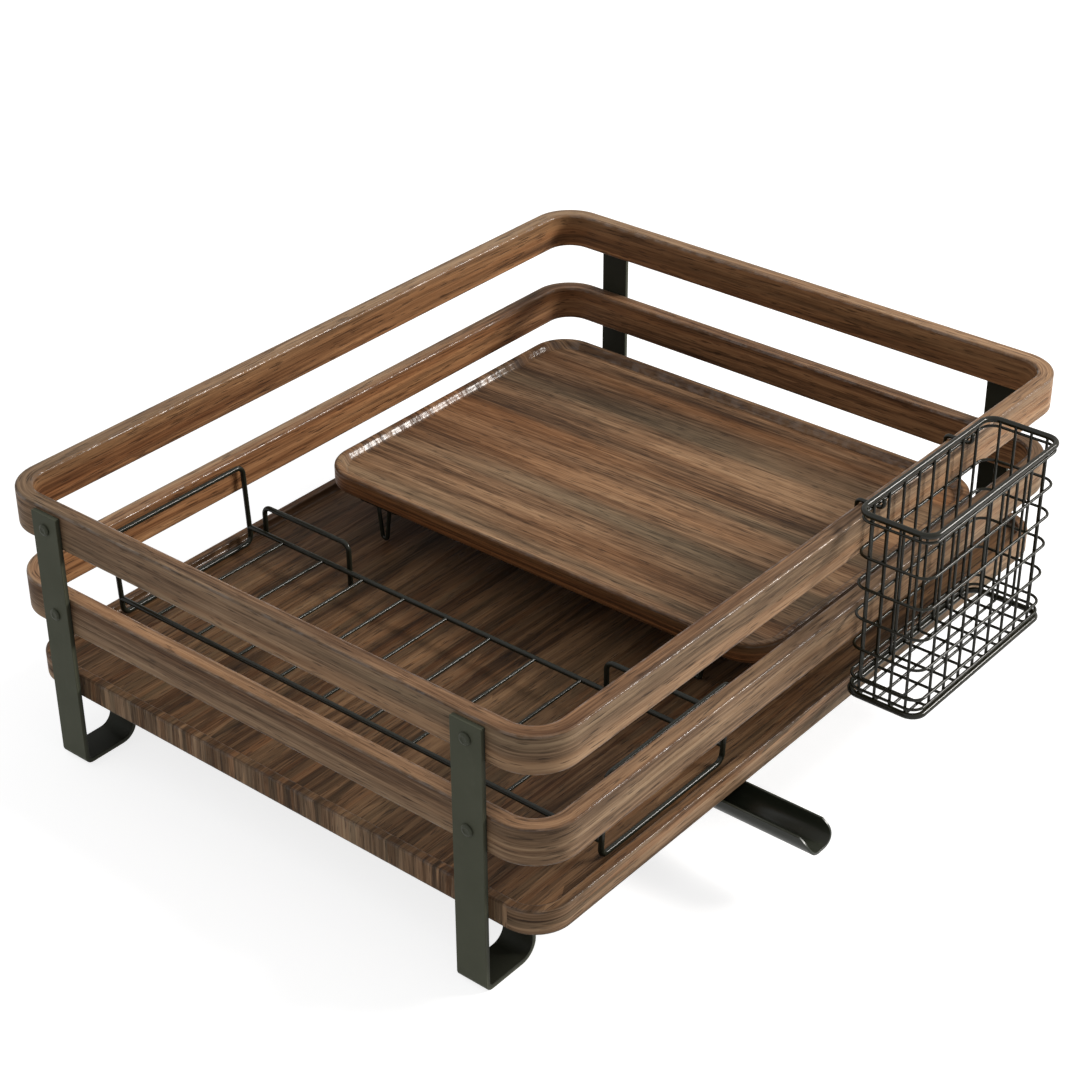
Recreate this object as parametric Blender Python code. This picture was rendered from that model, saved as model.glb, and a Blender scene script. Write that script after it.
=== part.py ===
"""A countertop dish rack: two bent walnut rails on four steel legs, a walnut drip tray with a swivelling
spout, a raised inner shelf, a wire insert for plates and a wire cutlery basket hung outside the right rail.

Metres, +Z up. X runs along the short front, Y along the long side to the back, and the origin is on the
counter below the middle of the whole rack.
"""

import math

import bmesh
import bpy
from mathutils import Vector

# Clearances and counts that every piece shares
GAP = 0.0003
OVERRUN = 0.002
MERGE = 0.000001
CORNER_STEPS = 8
BEND_STEPS = 4
WIRE_SIDES = 8
THIN_WIRE_SIDES = 6
TURNED_STEPS = 12
DRAIN_STEPS = 24
SMOOTH_ANGLE = math.radians(35)

# The two rails
RING_WIDTH = 0.392
RING_DEPTH = 0.500
RING_CORNER = 0.027
RAIL_THICKNESS = 0.0103
RAIL_HEIGHT = 0.0225
RAIL_EDGE = 0.0012
TOP_RAIL_Z = 0.1435
MIDDLE_RAIL_Z = 0.0887

# The drip tray
TRAY_INSET = 0.0045
TRAY_Z = 0.0415
TRAY_HEIGHT = 0.015
TRAY_FLOOR = 0.0105
TRAY_RIM = 0.006
TRAY_COVE = 0.0025
TRAY_EDGE = 0.001

# The legs, bent from flat strap
LEG_WIDTH = 0.020
LEG_THICKNESS = 0.003
LEG_INSET = 0.0445
LEG_TOP_DROP = 0.002
FOOT_REACH = 0.033
FOOT_FRONT_BEND = 0.005
FOOT_BACK_BEND = 0.008
TAB_LENGTH = 0.0145
TAB_BEND = 0.0045

# The screws
SCREW_HEAD = 0.007
SCREW_HEAD_HEIGHT = 0.0013
SCREW_BRIM_SHARE = 0.35
SCREW_CROWN_SHARES = (0.7, 0.85)
SCREW_SHANK = 0.0032
SCREW_BITE = 0.0072
SMALL_SCREW_HEAD = 0.0046
SMALL_SCREW_HEAD_HEIGHT = 0.001
SMALL_SCREW_SHANK = 0.0022
SMALL_SCREW_BITE = 0.005

# The drain and the spout
DRAIN_SIDE_MARGIN = 0.040
DRAIN_FRONT_MARGIN = 0.169
DRAIN_TUBE = 0.015
DRAIN_BORE = 0.011
DRAIN_FLANGE = 0.022
DRAIN_FLANGE_THICKNESS = 0.0014
DRAIN_TUBE_DROP = 0.0052
RETAINER_WIDTH = 0.0015
RETAINER_THICKNESS = 0.0015
RETAINER_CLEARANCE = 0.0007
SPOUT_REACH = 0.091
SPOUT_HEEL = 0.013
SPOUT_HEIGHT = 0.0138
SPOUT_WALL = 0.0015
SPOUT_BEND = 0.0095
SPOUT_NOSE_LENGTH = 0.0155
SPOUT_NOSE_DROP = 0.0125
SPOUT_PLATE_REACH = 0.0115

# The shelf on its hairpin legs
SHELF_SIDE_CLEARANCE = 0.01795
SHELF_SIDE_OFFSET = 0.00225
SHELF_FRONT_CLEARANCE = 0.0475
SHELF_BACK_MARGIN = 0.0425
SHELF_THICKNESS = 0.0128
SHELF_TOP_Z = 0.0931
SHELF_CORNER = 0.025
SHELF_RIM = 0.005
SHELF_RECESS = 0.0045
SHELF_COVE = 0.0065
SHELF_EDGE = 0.0015
HAIRPIN_WIRE = 0.0026
HAIRPIN_SPREAD = 0.010
HAIRPIN_BEND = 0.0021
HAIRPIN_SIDE_INSET = 0.0475
HAIRPIN_END_INSET = 0.0085
HAIRPIN_PLATE_LENGTH = 0.034
HAIRPIN_PLATE_WIDTH = 0.011
HAIRPIN_PLATE_THICKNESS = 0.002
HAIRPIN_SCREW_INSET = 0.005

# The wire insert for plates
INSERT_FRONT_MARGIN = 0.066
INSERT_DEPTH = 0.105
LONG_WIRE = 0.0032
CROSS_WIRE = 0.002
CROSS_WIRE_COUNT = 10
CROSS_WIRE_MARGIN = 0.02955
INSERT_WIRE_RISE = 0.0105
HOOP_TRAY_CLEARANCE = 0.002
HOOP_RAIL_CLEARANCE = 0.0017
HOOP_HEIGHT = 0.0528
HOOP_BEND = 0.005
STOP_MARGIN = 0.0104
STOP_WIDTH = 0.071
STOP_RISE = 0.017
STOP_BEND = 0.005

# The cutlery basket
BASKET_GAP = 0.0025
BASKET_WIDTH = 0.046
BASKET_LENGTH = 0.1365
BASKET_CENTRE_Y = 0.080
BASKET_HEIGHT = 0.1155
BASKET_CORNER = 0.008
RIM_WIRE = 0.0036
BASKET_WIRE = 0.002
WELD = 0.0006
END_RING_OFFSET = 0.0043
FIRST_RING_DROP = 0.0264
LAST_RING_RISE = 0.0107
RING_COUNT = 5
SIDE_UPRIGHT_COUNT = 8
SIDE_UPRIGHT_MARGIN = 0.01435
END_UPRIGHT_COUNT = 4
HOOK_WIRE = 0.0024
HOOK_DROP = 0.0175
HOOK_RAIL_CLEARANCE = 0.0006
HOOK_RING_CLEARANCE = 0.001
HOOK_BEND = 0.003

# Heights and places that follow from the sizes above
TRAY_FLOOR_Z = TRAY_Z + TRAY_FLOOR
TRAY_CORNER = RING_CORNER - TRAY_INSET
RAIL_ZS = (MIDDLE_RAIL_Z, TOP_RAIL_Z)
LEG_X = RING_WIDTH / 2 - LEG_INSET
LEG_SCREW_SEAT = 2 * GAP + LEG_THICKNESS
TAB_SCREW_Y = FOOT_REACH + LEG_THICKNESS + TAB_LENGTH / 2
TAB_Z = TRAY_Z - GAP - LEG_THICKNESS / 2
DRAIN_X = RING_WIDTH / 2 - DRAIN_SIDE_MARGIN
DRAIN_Y = DRAIN_FRONT_MARGIN - RING_DEPTH / 2
EYE_RADIUS = DRAIN_TUBE / 2 + GAP
SPOUT_HALF_WIDTH = EYE_RADIUS + RETAINER_WIDTH + RETAINER_CLEARANCE + SPOUT_WALL
INSERT_Y = INSERT_FRONT_MARGIN - RING_DEPTH / 2
INSERT_Z = TRAY_FLOOR_Z + GAP + LONG_WIRE / 2
SHELF_FRONT_Y = INSERT_Y + INSERT_DEPTH + SHELF_FRONT_CLEARANCE
SHELF_BACK_Y = RING_DEPTH / 2 - SHELF_BACK_MARGIN
SHELF_WIDTH = RING_WIDTH - 2 * (RAIL_THICKNESS + SHELF_SIDE_CLEARANCE)
SHELF_DEPTH = SHELF_BACK_Y - SHELF_FRONT_Y
SHELF_Z = SHELF_TOP_Z - SHELF_THICKNESS
HAIRPIN_SCREW_X = HAIRPIN_PLATE_LENGTH / 2 - HAIRPIN_SCREW_INSET
TRAY_FLOOR_HALF_WIDTH = RING_WIDTH / 2 - TRAY_INSET - TRAY_RIM - TRAY_COVE
HOOP_LOW_X = TRAY_FLOOR_HALF_WIDTH - HOOP_TRAY_CLEARANCE - LONG_WIRE / 2
HOOP_HIGH_X = RING_WIDTH / 2 - RAIL_THICKNESS - HOOP_RAIL_CLEARANCE - LONG_WIRE / 2
STOP_OUTER_X = HOOP_LOW_X - STOP_MARGIN
STOP_INNER_X = STOP_OUTER_X - STOP_WIDTH
TOP_RAIL_TOP_Z = TOP_RAIL_Z + RAIL_HEIGHT
HOOK_Z = TOP_RAIL_TOP_Z + GAP + HOOK_WIRE / 2
END_RING_Z = HOOK_Z + HOOK_WIRE / 2 + HOOK_RING_CLEARANCE + BASKET_WIRE / 2
BASKET_RIM_Z = END_RING_Z + END_RING_OFFSET
BASKET_BASE_Z = BASKET_RIM_Z - BASKET_HEIGHT
BASKET_X = RING_WIDTH / 2 + BASKET_GAP + BASKET_WIDTH / 2
OVERHANG = max(SPOUT_REACH - DRAIN_SIDE_MARGIN, BASKET_GAP + BASKET_WIDTH + RIM_WIRE / 2)

X_AXIS = Vector((1, 0, 0))
Y_AXIS = Vector((0, 1, 0))
Z_AXIS = Vector((0, 0, 1))


def clear_scene():
    for obj in list(bpy.data.objects):
        bpy.data.objects.remove(obj)


def make_material(name, colour, roughness, metallic):
    material = bpy.data.materials.new(name)
    material.use_nodes = True
    shader = material.node_tree.nodes["Principled BSDF"]
    shader.inputs["Base Color"].default_value = (*colour, 1)
    shader.inputs["Roughness"].default_value = roughness
    shader.inputs["Metallic"].default_value = metallic
    material.diffuse_color = (*colour, 1)
    return material


def make_empty(name, location, parent=None):
    empty = bpy.data.objects.new(name, None)
    empty.location = location
    empty.parent = parent
    bpy.context.scene.collection.objects.link(empty)
    return empty


def finished(name, bm, material):
    """The mesh of a piece, with its faces out, its round sides smooth and its edges sharp."""
    bmesh.ops.recalc_face_normals(bm, faces=bm.faces)
    mesh = bpy.data.meshes.new(name)
    bm.to_mesh(mesh)
    bm.free()
    mesh.materials.append(material)
    return smoothed(mesh)


def smoothed(mesh):
    mesh.shade_smooth()
    mesh.set_sharp_from_angle(angle=SMOOTH_ANGLE)
    return mesh


def place(name, mesh, parent, location=(0, 0, 0), rotation=(0, 0, 0)):
    obj = bpy.data.objects.new(name, mesh)
    obj.location = location
    obj.rotation_euler = rotation
    obj.parent = parent
    bpy.context.scene.collection.objects.link(obj)
    return obj


def combined(base, tool, operation):
    """The base mesh after an exact Boolean with the tool mesh, both about one origin."""
    base_object = place("base", base, None)
    tool_object = place("tool", tool, None)
    modifier = base_object.modifiers.new("combine", "BOOLEAN")
    modifier.operation = operation
    modifier.object = tool_object
    graph = bpy.context.evaluated_depsgraph_get()
    mesh = bpy.data.meshes.new_from_object(base_object.evaluated_get(graph))
    mesh.name = base.name
    bpy.data.objects.remove(base_object)
    bpy.data.objects.remove(tool_object)
    return smoothed(mesh)


def spread(count, half):
    """Places that share out the span from -half to half evenly, both ends included."""
    return [(2 * i / (count - 1) - 1) * half for i in range(count)]


def filleted(points, radii, closed=False):
    """The points as a path whose corners are arcs; radii holds one radius for each corner, in order."""
    points = [Vector(point) for point in points]
    corners = range(len(points)) if closed else range(1, len(points) - 1)
    radius_of = dict(zip(corners, radii))
    path = []
    for i, corner in enumerate(points):
        if i not in radius_of:
            path.append(corner)
            continue
        to_last = (points[i - 1] - corner).normalized()
        to_next = (points[(i + 1) % len(points)] - corner).normalized()
        half = to_last.angle(to_next) / 2
        radius = radius_of[i]
        centre = corner + (to_last + to_next).normalized() * radius / math.sin(half)
        start = corner + to_last * radius / math.tan(half) - centre
        end = corner + to_next * radius / math.tan(half) - centre
        turn = math.pi - 2 * half
        for step in range(BEND_STEPS + 1):
            share = step / BEND_STEPS
            blend = math.sin((1 - share) * turn) * start + math.sin(share * turn) * end
            path.append(centre + blend / math.sin(turn))
    return path


def rounded_outline(half_x, half_y, radius):
    """A rectangle with round corners, anticlockwise, as a closed path in the XY plane."""
    path = []
    for quarter, (side_x, side_y) in enumerate(((1, 1), (-1, 1), (-1, -1), (1, -1))):
        for step in range(CORNER_STEPS + 1):
            angle = math.pi / 2 * (quarter + step / CORNER_STEPS)
            x = side_x * (half_x - radius) + radius * math.cos(angle)
            y = side_y * (half_y - radius) + radius * math.sin(angle)
            path.append(Vector((x, y, 0)))
    return path


def side_of(path, i, normal, closed):
    """The direction across the path at one of its points, longer at a bend so that the width stays true."""
    sides = []
    if closed or i > 0:
        sides.append(normal.cross(path[i] - path[i - 1]).normalized())
    if closed or i < len(path) - 1:
        sides.append(normal.cross(path[(i + 1) % len(path)] - path[i]).normalized())
    mean = sum(sides, Vector()) / len(sides)
    return mean / mean.length_squared


def swept(bm, path, section, normal, path_closed=False, section_closed=True):
    """Sweeps a section of (across, along the normal) pairs along a flat path. What stays open is capped."""
    rows = []
    for i, point in enumerate(path):
        side = side_of(path, i, normal, path_closed)
        corners = [point + side * across + normal * up for across, up in section]
        rows.append([bm.verts.new(corner) for corner in corners])
    row_count = len(rows)
    point_count = len(section)
    for i in range(row_count if path_closed else row_count - 1):
        near, far = rows[i], rows[(i + 1) % row_count]
        for j in range(point_count if section_closed else point_count - 1):
            k = (j + 1) % point_count
            bm.faces.new((near[j], near[k], far[k], far[j]))
    if not path_closed:
        bm.faces.new(rows[0])
        bm.faces.new(rows[-1])
    if not section_closed:
        bm.faces.new([row[0] for row in rows])
        bm.faces.new([row[-1] for row in rows])


def round_section(diameter, sides):
    angles = [2 * math.pi * i / sides for i in range(sides)]
    return [(diameter / 2 * math.cos(angle), diameter / 2 * math.sin(angle)) for angle in angles]


def flat_section(width, height):
    half, up = width / 2, height / 2
    return [(-half, -up), (half, -up), (half, up), (-half, up)]


def wire(name, path, diameter, normal, material, closed=False, sides=WIRE_SIDES):
    bm = bmesh.new()
    swept(bm, path, round_section(diameter, sides), normal, path_closed=closed)
    return finished(name, bm, material)


def turned(name, profile, steps, material, closed=False):
    """Turns a profile of (radius, height) points about Z."""
    bm = bmesh.new()
    verts = [bm.verts.new((radius, 0, height)) for radius, height in profile]
    ends = zip(verts, verts[1:] + verts[:1]) if closed else zip(verts, verts[1:])
    edges = [bm.edges.new(pair) for pair in ends]
    bmesh.ops.spin(
        bm, geom=verts + edges, cent=(0, 0, 0), axis=Z_AXIS, angle=2 * math.pi, steps=steps, use_merge=True
    )
    bmesh.ops.remove_doubles(bm, verts=bm.verts, dist=MERGE)
    return finished(name, bm, material)


def add_rod(bm, start, end, diameter, sides=TURNED_STEPS):
    """A plain rod between two points, upright or lying along Y."""
    swept(bm, [Vector(start), Vector(end)], round_section(diameter, sides), X_AXIS)


def rail_mesh(material):
    """One rail. Its origin is the middle of its underside, and the legs' screws have blind holes in it."""
    bm = bmesh.new()
    outline = rounded_outline(RING_WIDTH / 2, RING_DEPTH / 2, RING_CORNER)
    inner, top, edge = RAIL_THICKNESS, RAIL_HEIGHT, RAIL_EDGE
    section = [
        (0, edge),
        (edge, 0),
        (inner - edge, 0),
        (inner, edge),
        (inner, top - edge),
        (inner - edge, top),
        (edge, top),
        (0, top - edge),
    ]
    swept(bm, outline, section, Z_AXIS, path_closed=True)
    holes = bmesh.new()
    for x in (-LEG_X, LEG_X):
        for side in (-1, 1):
            face_y = side * RING_DEPTH / 2
            start = (x, face_y + side * OVERRUN, RAIL_HEIGHT / 2)
            end = (x, face_y - side * (SCREW_BITE + GAP), RAIL_HEIGHT / 2)
            add_rod(holes, start, end, SCREW_SHANK + 2 * GAP)
    rail = finished("rail", bm, material)
    return combined(rail, finished("rail_holes", holes, material), "DIFFERENCE")


def dished_board(name, half_x, half_y, corner, profile, material):
    """A board with a raised rim. Its profile runs from the underside up and over the rim to the floor."""
    bm = bmesh.new()
    outline = rounded_outline(half_x, half_y, corner)
    swept(bm, outline, profile, Z_AXIS, path_closed=True, section_closed=False)
    return finished(name, bm, material)


def tray_mesh(material):
    """The drip tray, about the middle of its underside, with the drain hole and the foot screws' holes."""
    edge = TRAY_EDGE
    cove = TRAY_COVE * (1 - math.sin(math.pi / 4))
    profile = [
        (edge, 0),
        (0, edge),
        (0, TRAY_HEIGHT - edge),
        (edge, TRAY_HEIGHT),
        (TRAY_RIM - edge, TRAY_HEIGHT),
        (TRAY_RIM, TRAY_HEIGHT - edge),
        (TRAY_RIM + cove, TRAY_FLOOR + cove),
        (TRAY_RIM + TRAY_COVE, TRAY_FLOOR),
    ]
    half_x = RING_WIDTH / 2 - TRAY_INSET
    half_y = RING_DEPTH / 2 - TRAY_INSET
    tray = dished_board("drip_tray", half_x, half_y, TRAY_CORNER, profile, material)
    holes = bmesh.new()
    for x in (-LEG_X, LEG_X):
        for side in (-1, 1):
            y = side * (RING_DEPTH / 2 - TAB_SCREW_Y)
            add_rod(holes, (x, y, -OVERRUN), (x, y, SCREW_BITE + GAP), SCREW_SHANK + 2 * GAP)
    add_rod(
        holes,
        (DRAIN_X, DRAIN_Y, -OVERRUN),
        (DRAIN_X, DRAIN_Y, TRAY_HEIGHT + OVERRUN),
        DRAIN_TUBE + 2 * GAP,
        DRAIN_STEPS,
    )
    return combined(tray, finished("tray_holes", holes, material), "DIFFERENCE")


def leg_mesh(material):
    """A front leg, bent from one strap. Its origin is on the counter, below the rails' front face."""
    strap_y = -GAP - LEG_THICKNESS / 2
    sole_z = LEG_THICKNESS / 2
    riser_y = FOOT_REACH + LEG_THICKNESS / 2
    tab_end_y = FOOT_REACH + LEG_THICKNESS + TAB_LENGTH
    points = [
        (0, strap_y, TOP_RAIL_TOP_Z - LEG_TOP_DROP),
        (0, strap_y, sole_z),
        (0, riser_y, sole_z),
        (0, riser_y, TAB_Z),
        (0, tab_end_y, TAB_Z),
    ]
    half = LEG_THICKNESS / 2
    bends = (FOOT_FRONT_BEND - half, FOOT_BACK_BEND + half, TAB_BEND - half)
    bm = bmesh.new()
    swept(bm, filleted(points, bends), flat_section(LEG_THICKNESS, LEG_WIDTH), X_AXIS)
    holes = bmesh.new()
    for rail_z in RAIL_ZS:
        z = rail_z + RAIL_HEIGHT / 2
        add_rod(holes, (0, OVERRUN, z), (0, -LEG_SCREW_SEAT - OVERRUN, z), SCREW_SHANK + 2 * GAP)
    low_z = TAB_Z - LEG_THICKNESS / 2 - OVERRUN
    add_rod(holes, (0, TAB_SCREW_Y, low_z), (0, TAB_SCREW_Y, TRAY_Z + OVERRUN), SCREW_SHANK + 2 * GAP)
    leg = finished("leg", bm, material)
    return combined(leg, finished("leg_holes", holes, material), "DIFFERENCE")


def screw_mesh(name, head, head_height, shank, length, material):
    """A low round-headed screw that points down, about the middle of its head's seat."""
    tip = shank / 2
    crown_across, crown_up = SCREW_CROWN_SHARES
    profile = [
        (0, -length),
        (tip / 2, -length),
        (shank / 2, tip - length),
        (shank / 2, 0),
        (head / 2, 0),
        (head / 2, head_height * SCREW_BRIM_SHARE),
        (head / 2 * crown_across, head_height * crown_up),
        (0, head_height),
    ]
    return turned(name, profile, TURNED_STEPS, material)


def build_legs(rack, steel, screw_steel):
    leg = leg_mesh(steel)
    length = LEG_SCREW_SEAT + SCREW_BITE
    screw = screw_mesh("screw", SCREW_HEAD, SCREW_HEAD_HEIGHT, SCREW_SHANK, length, screw_steel)
    for end, side in (("front", -1), ("back", 1)):
        for hand, x in (("left", -LEG_X), ("right", LEG_X)):
            face_y = side * RING_DEPTH / 2
            turn = (0, 0, 0) if side < 0 else (0, 0, math.pi)
            place(f"leg_{end}_{hand}", leg, rack, (x, face_y, 0), turn)
            outward = (math.pi / 2 * -side, 0, 0)
            for level, rail_z in zip(("middle", "top"), RAIL_ZS):
                seat = (x, face_y + side * LEG_SCREW_SEAT, rail_z + RAIL_HEIGHT / 2)
                place(f"rail_screw_{end}_{hand}_{level}", screw, rack, seat, outward)
            seat = (x, face_y - side * TAB_SCREW_Y, TRAY_Z - LEG_SCREW_SEAT)
            place(f"tray_screw_{end}_{hand}", screw, rack, seat, (math.pi, 0, 0))


def bushing_mesh(material):
    """The drain's flanged tube, about the tray's underside on the drain's axis."""
    bore, tube, flange = DRAIN_BORE / 2, DRAIN_TUBE / 2, DRAIN_FLANGE / 2
    seat = TRAY_FLOOR + GAP
    profile = [
        (tube, -DRAIN_TUBE_DROP),
        (tube, seat),
        (flange, seat),
        (flange, seat + DRAIN_FLANGE_THICKNESS / 2),
        (bore + DRAIN_FLANGE_THICKNESS / 2, seat + DRAIN_FLANGE_THICKNESS),
        (bore, seat + DRAIN_FLANGE_THICKNESS / 2),
        (bore, -DRAIN_TUBE_DROP),
    ]
    return turned("drain_bushing", profile, DRAIN_STEPS, material, closed=True)


def channel_section(wall, top):
    """The spout's outline across, one wall inside its outer face and up to the given height."""
    half = SPOUT_HALF_WIDTH - wall
    floor = wall - SPOUT_HEIGHT - GAP
    bend = SPOUT_BEND - wall
    corners = filleted(((-half, top, 0), (-half, floor, 0), (half, floor, 0), (half, top, 0)), (bend, bend))
    return [(point.x, point.y) for point in corners]


def spout_mesh(material):
    """The spout points along +X, about the drain's axis at the tray's underside."""
    body = bmesh.new()
    span = [Vector((-SPOUT_HEEL, 0, 0)), Vector((SPOUT_REACH, 0, 0))]
    swept(body, span, channel_section(0, -GAP), Z_AXIS)
    hollow = bmesh.new()
    span = [Vector((SPOUT_WALL - SPOUT_HEEL, 0, 0)), Vector((SPOUT_REACH + OVERRUN, 0, 0))]
    swept(hollow, span, channel_section(SPOUT_WALL, -GAP - SPOUT_WALL), Z_AXIS)
    opening = bmesh.new()
    span = [Vector((SPOUT_PLATE_REACH, 0, 0)), Vector((SPOUT_REACH + OVERRUN, 0, 0))]
    swept(opening, span, channel_section(SPOUT_WALL, OVERRUN), Z_AXIS)
    eye = bmesh.new()
    add_rod(eye, (0, 0, -GAP - SPOUT_WALL - OVERRUN), (0, 0, OVERRUN), 2 * EYE_RADIUS, DRAIN_STEPS)
    mesh = finished("spout", body, material)
    for tool in (hollow, opening, eye, nose_cutter()):
        mesh = combined(mesh, finished("spout_cut", tool, material), "DIFFERENCE")
    return mesh


def nose_cutter():
    """What the rounded nose leaves of the channel's top corner, as a prism across the spout."""
    length, drop = SPOUT_NOSE_LENGTH, SPOUT_NOSE_DROP
    centre_x = SPOUT_REACH - length
    centre_z = -GAP - drop
    angles = [math.pi / 2 * i / CORNER_STEPS for i in range(CORNER_STEPS + 1)]
    arc = [(centre_x + length * math.cos(a), centre_z + drop * math.sin(a)) for a in angles]
    outside = SPOUT_REACH + OVERRUN
    outline = arc + [(centre_x, OVERRUN), (outside, OVERRUN), (outside, centre_z)]
    bm = bmesh.new()
    half = SPOUT_HALF_WIDTH + OVERRUN
    span = [Vector((0, half, 0)), Vector((0, -half, 0))]
    swept(bm, span, outline, Z_AXIS)
    return bm


def build_drain(rack, pivot, bushing_material, spout_material):
    place("drain_bushing", bushing_mesh(bushing_material), rack, (DRAIN_X, DRAIN_Y, TRAY_Z))
    place("spout", spout_mesh(spout_material), pivot)
    top = -2 * GAP - SPOUT_WALL
    rim = EYE_RADIUS + RETAINER_WIDTH
    profile = [
        (rim, top),
        (rim, top - RETAINER_THICKNESS),
        (EYE_RADIUS, top - RETAINER_THICKNESS),
        (EYE_RADIUS, top),
    ]
    retainer = turned("spout_retainer", profile, DRAIN_STEPS, bushing_material, closed=True)
    place("spout_retainer", retainer, rack, (DRAIN_X, DRAIN_Y, TRAY_Z))


def shelf_mesh(material):
    """The shelf board, about the middle of its underside."""
    edge, top = SHELF_EDGE, SHELF_THICKNESS
    round_off = edge * (1 - math.sin(math.pi / 4))
    cove_start = SHELF_RIM - edge
    floor = SHELF_THICKNESS - SHELF_RECESS
    profile = [
        (edge, 0),
        (round_off, round_off),
        (0, edge),
        (0, top - edge),
        (round_off, top - round_off),
        (edge, top),
        (cove_start, top),
    ]
    for step in range(1, BEND_STEPS + 1):
        angle = math.pi / 2 * step / BEND_STEPS
        across = cove_start + SHELF_COVE * math.sin(angle)
        profile.append((across, floor + SHELF_RECESS * math.cos(angle)))
    half_x, half_y = SHELF_WIDTH / 2, SHELF_DEPTH / 2
    return dished_board("shelf_board", half_x, half_y, SHELF_CORNER, profile, material)


def hairpin_path(top_z, foot_z):
    """A hairpin's wire: its two straight sides meet the round bend at the foot without a kink."""
    half = HAIRPIN_SPREAD / 2
    centre_z = foot_z + HAIRPIN_WIRE / 2 + HAIRPIN_BEND
    rise = top_z - centre_z
    lean = math.atan2(half, rise) - math.asin(HAIRPIN_BEND / math.hypot(half, rise))
    apex_z = centre_z - HAIRPIN_BEND / math.sin(lean)
    return filleted(((-half, 0, top_z), (0, 0, apex_z), (half, 0, top_z)), (HAIRPIN_BEND,))


def hairpin_mesh(material):
    """A hairpin leg welded to its plate, about the middle of the plate's top."""
    foot_z = TRAY_FLOOR_Z - SHELF_Z + 2 * GAP
    middle_z = -HAIRPIN_PLATE_THICKNESS / 2
    pin = wire("shelf_leg", hairpin_path(middle_z, foot_z), HAIRPIN_WIRE, Y_AXIS, material)
    plate = bmesh.new()
    reach = HAIRPIN_PLATE_LENGTH / 2
    span = [Vector((-reach, 0, middle_z)), Vector((reach, 0, middle_z))]
    swept(plate, span, flat_section(HAIRPIN_PLATE_WIDTH, HAIRPIN_PLATE_THICKNESS), Z_AXIS)
    leg = combined(finished("shelf_leg", plate, material), pin, "UNION")
    holes = bmesh.new()
    for x in (-HAIRPIN_SCREW_X, HAIRPIN_SCREW_X):
        low = (x, 0, -HAIRPIN_PLATE_THICKNESS - OVERRUN)
        add_rod(holes, low, (x, 0, OVERRUN), SMALL_SCREW_SHANK + 2 * GAP)
    return combined(leg, finished("shelf_leg_holes", holes, material), "DIFFERENCE")


def hairpin_places():
    """(name, x, y) of each hairpin leg below the shelf's middle."""
    half_x = SHELF_WIDTH / 2 - HAIRPIN_SIDE_INSET
    half_y = SHELF_DEPTH / 2 - HAIRPIN_END_INSET
    for end, y in (("front", -half_y), ("back", half_y)):
        for hand, x in (("left", -half_x), ("right", half_x)):
            yield f"{end}_{hand}", x, y


def build_shelf(shelf, walnut, wire_steel, screw_steel):
    holes = bmesh.new()
    leg = hairpin_mesh(wire_steel)
    seat_z = -2 * GAP - HAIRPIN_PLATE_THICKNESS
    length = SMALL_SCREW_BITE - seat_z
    screw = screw_mesh(
        "small_screw", SMALL_SCREW_HEAD, SMALL_SCREW_HEAD_HEIGHT, SMALL_SCREW_SHANK, length, screw_steel
    )
    for name, x, y in hairpin_places():
        place(f"shelf_leg_{name}", leg, shelf, (x, y, -GAP))
        for hand, side in (("a", -1), ("b", 1)):
            screw_x = x + side * HAIRPIN_SCREW_X
            place(f"shelf_screw_{name}_{hand}", screw, shelf, (screw_x, y, seat_z), (math.pi, 0, 0))
            end = (screw_x, y, SMALL_SCREW_BITE + GAP)
            add_rod(holes, (screw_x, y, -OVERRUN), end, SMALL_SCREW_SHANK + 2 * GAP)
    board = combined(shelf_mesh(walnut), finished("shelf_holes", holes, walnut), "DIFFERENCE")
    place("shelf_board", board, shelf)


def hoop_x(height):
    """How far the end hoop stands from the middle at a height above its bottom bar."""
    return HOOP_LOW_X + (HOOP_HIGH_X - HOOP_LOW_X) * height / HOOP_HEIGHT


def hoop_mesh(material, side):
    """An end hoop, about the middle of the insert at its bottom bar's height. It leans out to its side."""
    points = [
        (side * hoop_x(0), 0, 0),
        (side * hoop_x(0), INSERT_DEPTH, 0),
        (side * hoop_x(HOOP_HEIGHT), INSERT_DEPTH, HOOP_HEIGHT),
        (side * hoop_x(HOOP_HEIGHT), 0, HOOP_HEIGHT),
    ]
    normal = Vector((HOOP_HEIGHT, 0, side * (HOOP_LOW_X - HOOP_HIGH_X))).normalized()
    path = filleted(points, [HOOP_BEND] * len(points), closed=True)
    return wire("insert_hoop", path, LONG_WIRE, normal, material, closed=True)


def stop_mesh(material, side):
    """A low stop that keeps plates upright: a bent wire whose inner end stands on the tray."""
    outer_end = INSERT_WIRE_RISE - LONG_WIRE / 2
    points = [
        (side * STOP_OUTER_X, 0, outer_end),
        (side * STOP_OUTER_X, 0, INSERT_WIRE_RISE + STOP_RISE),
        (side * STOP_INNER_X, 0, INSERT_WIRE_RISE + STOP_RISE),
        (side * STOP_INNER_X, 0, -LONG_WIRE / 2),
    ]
    return wire("insert_stop", filleted(points, [STOP_BEND] * 2), LONG_WIRE, Y_AXIS, material)


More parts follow.
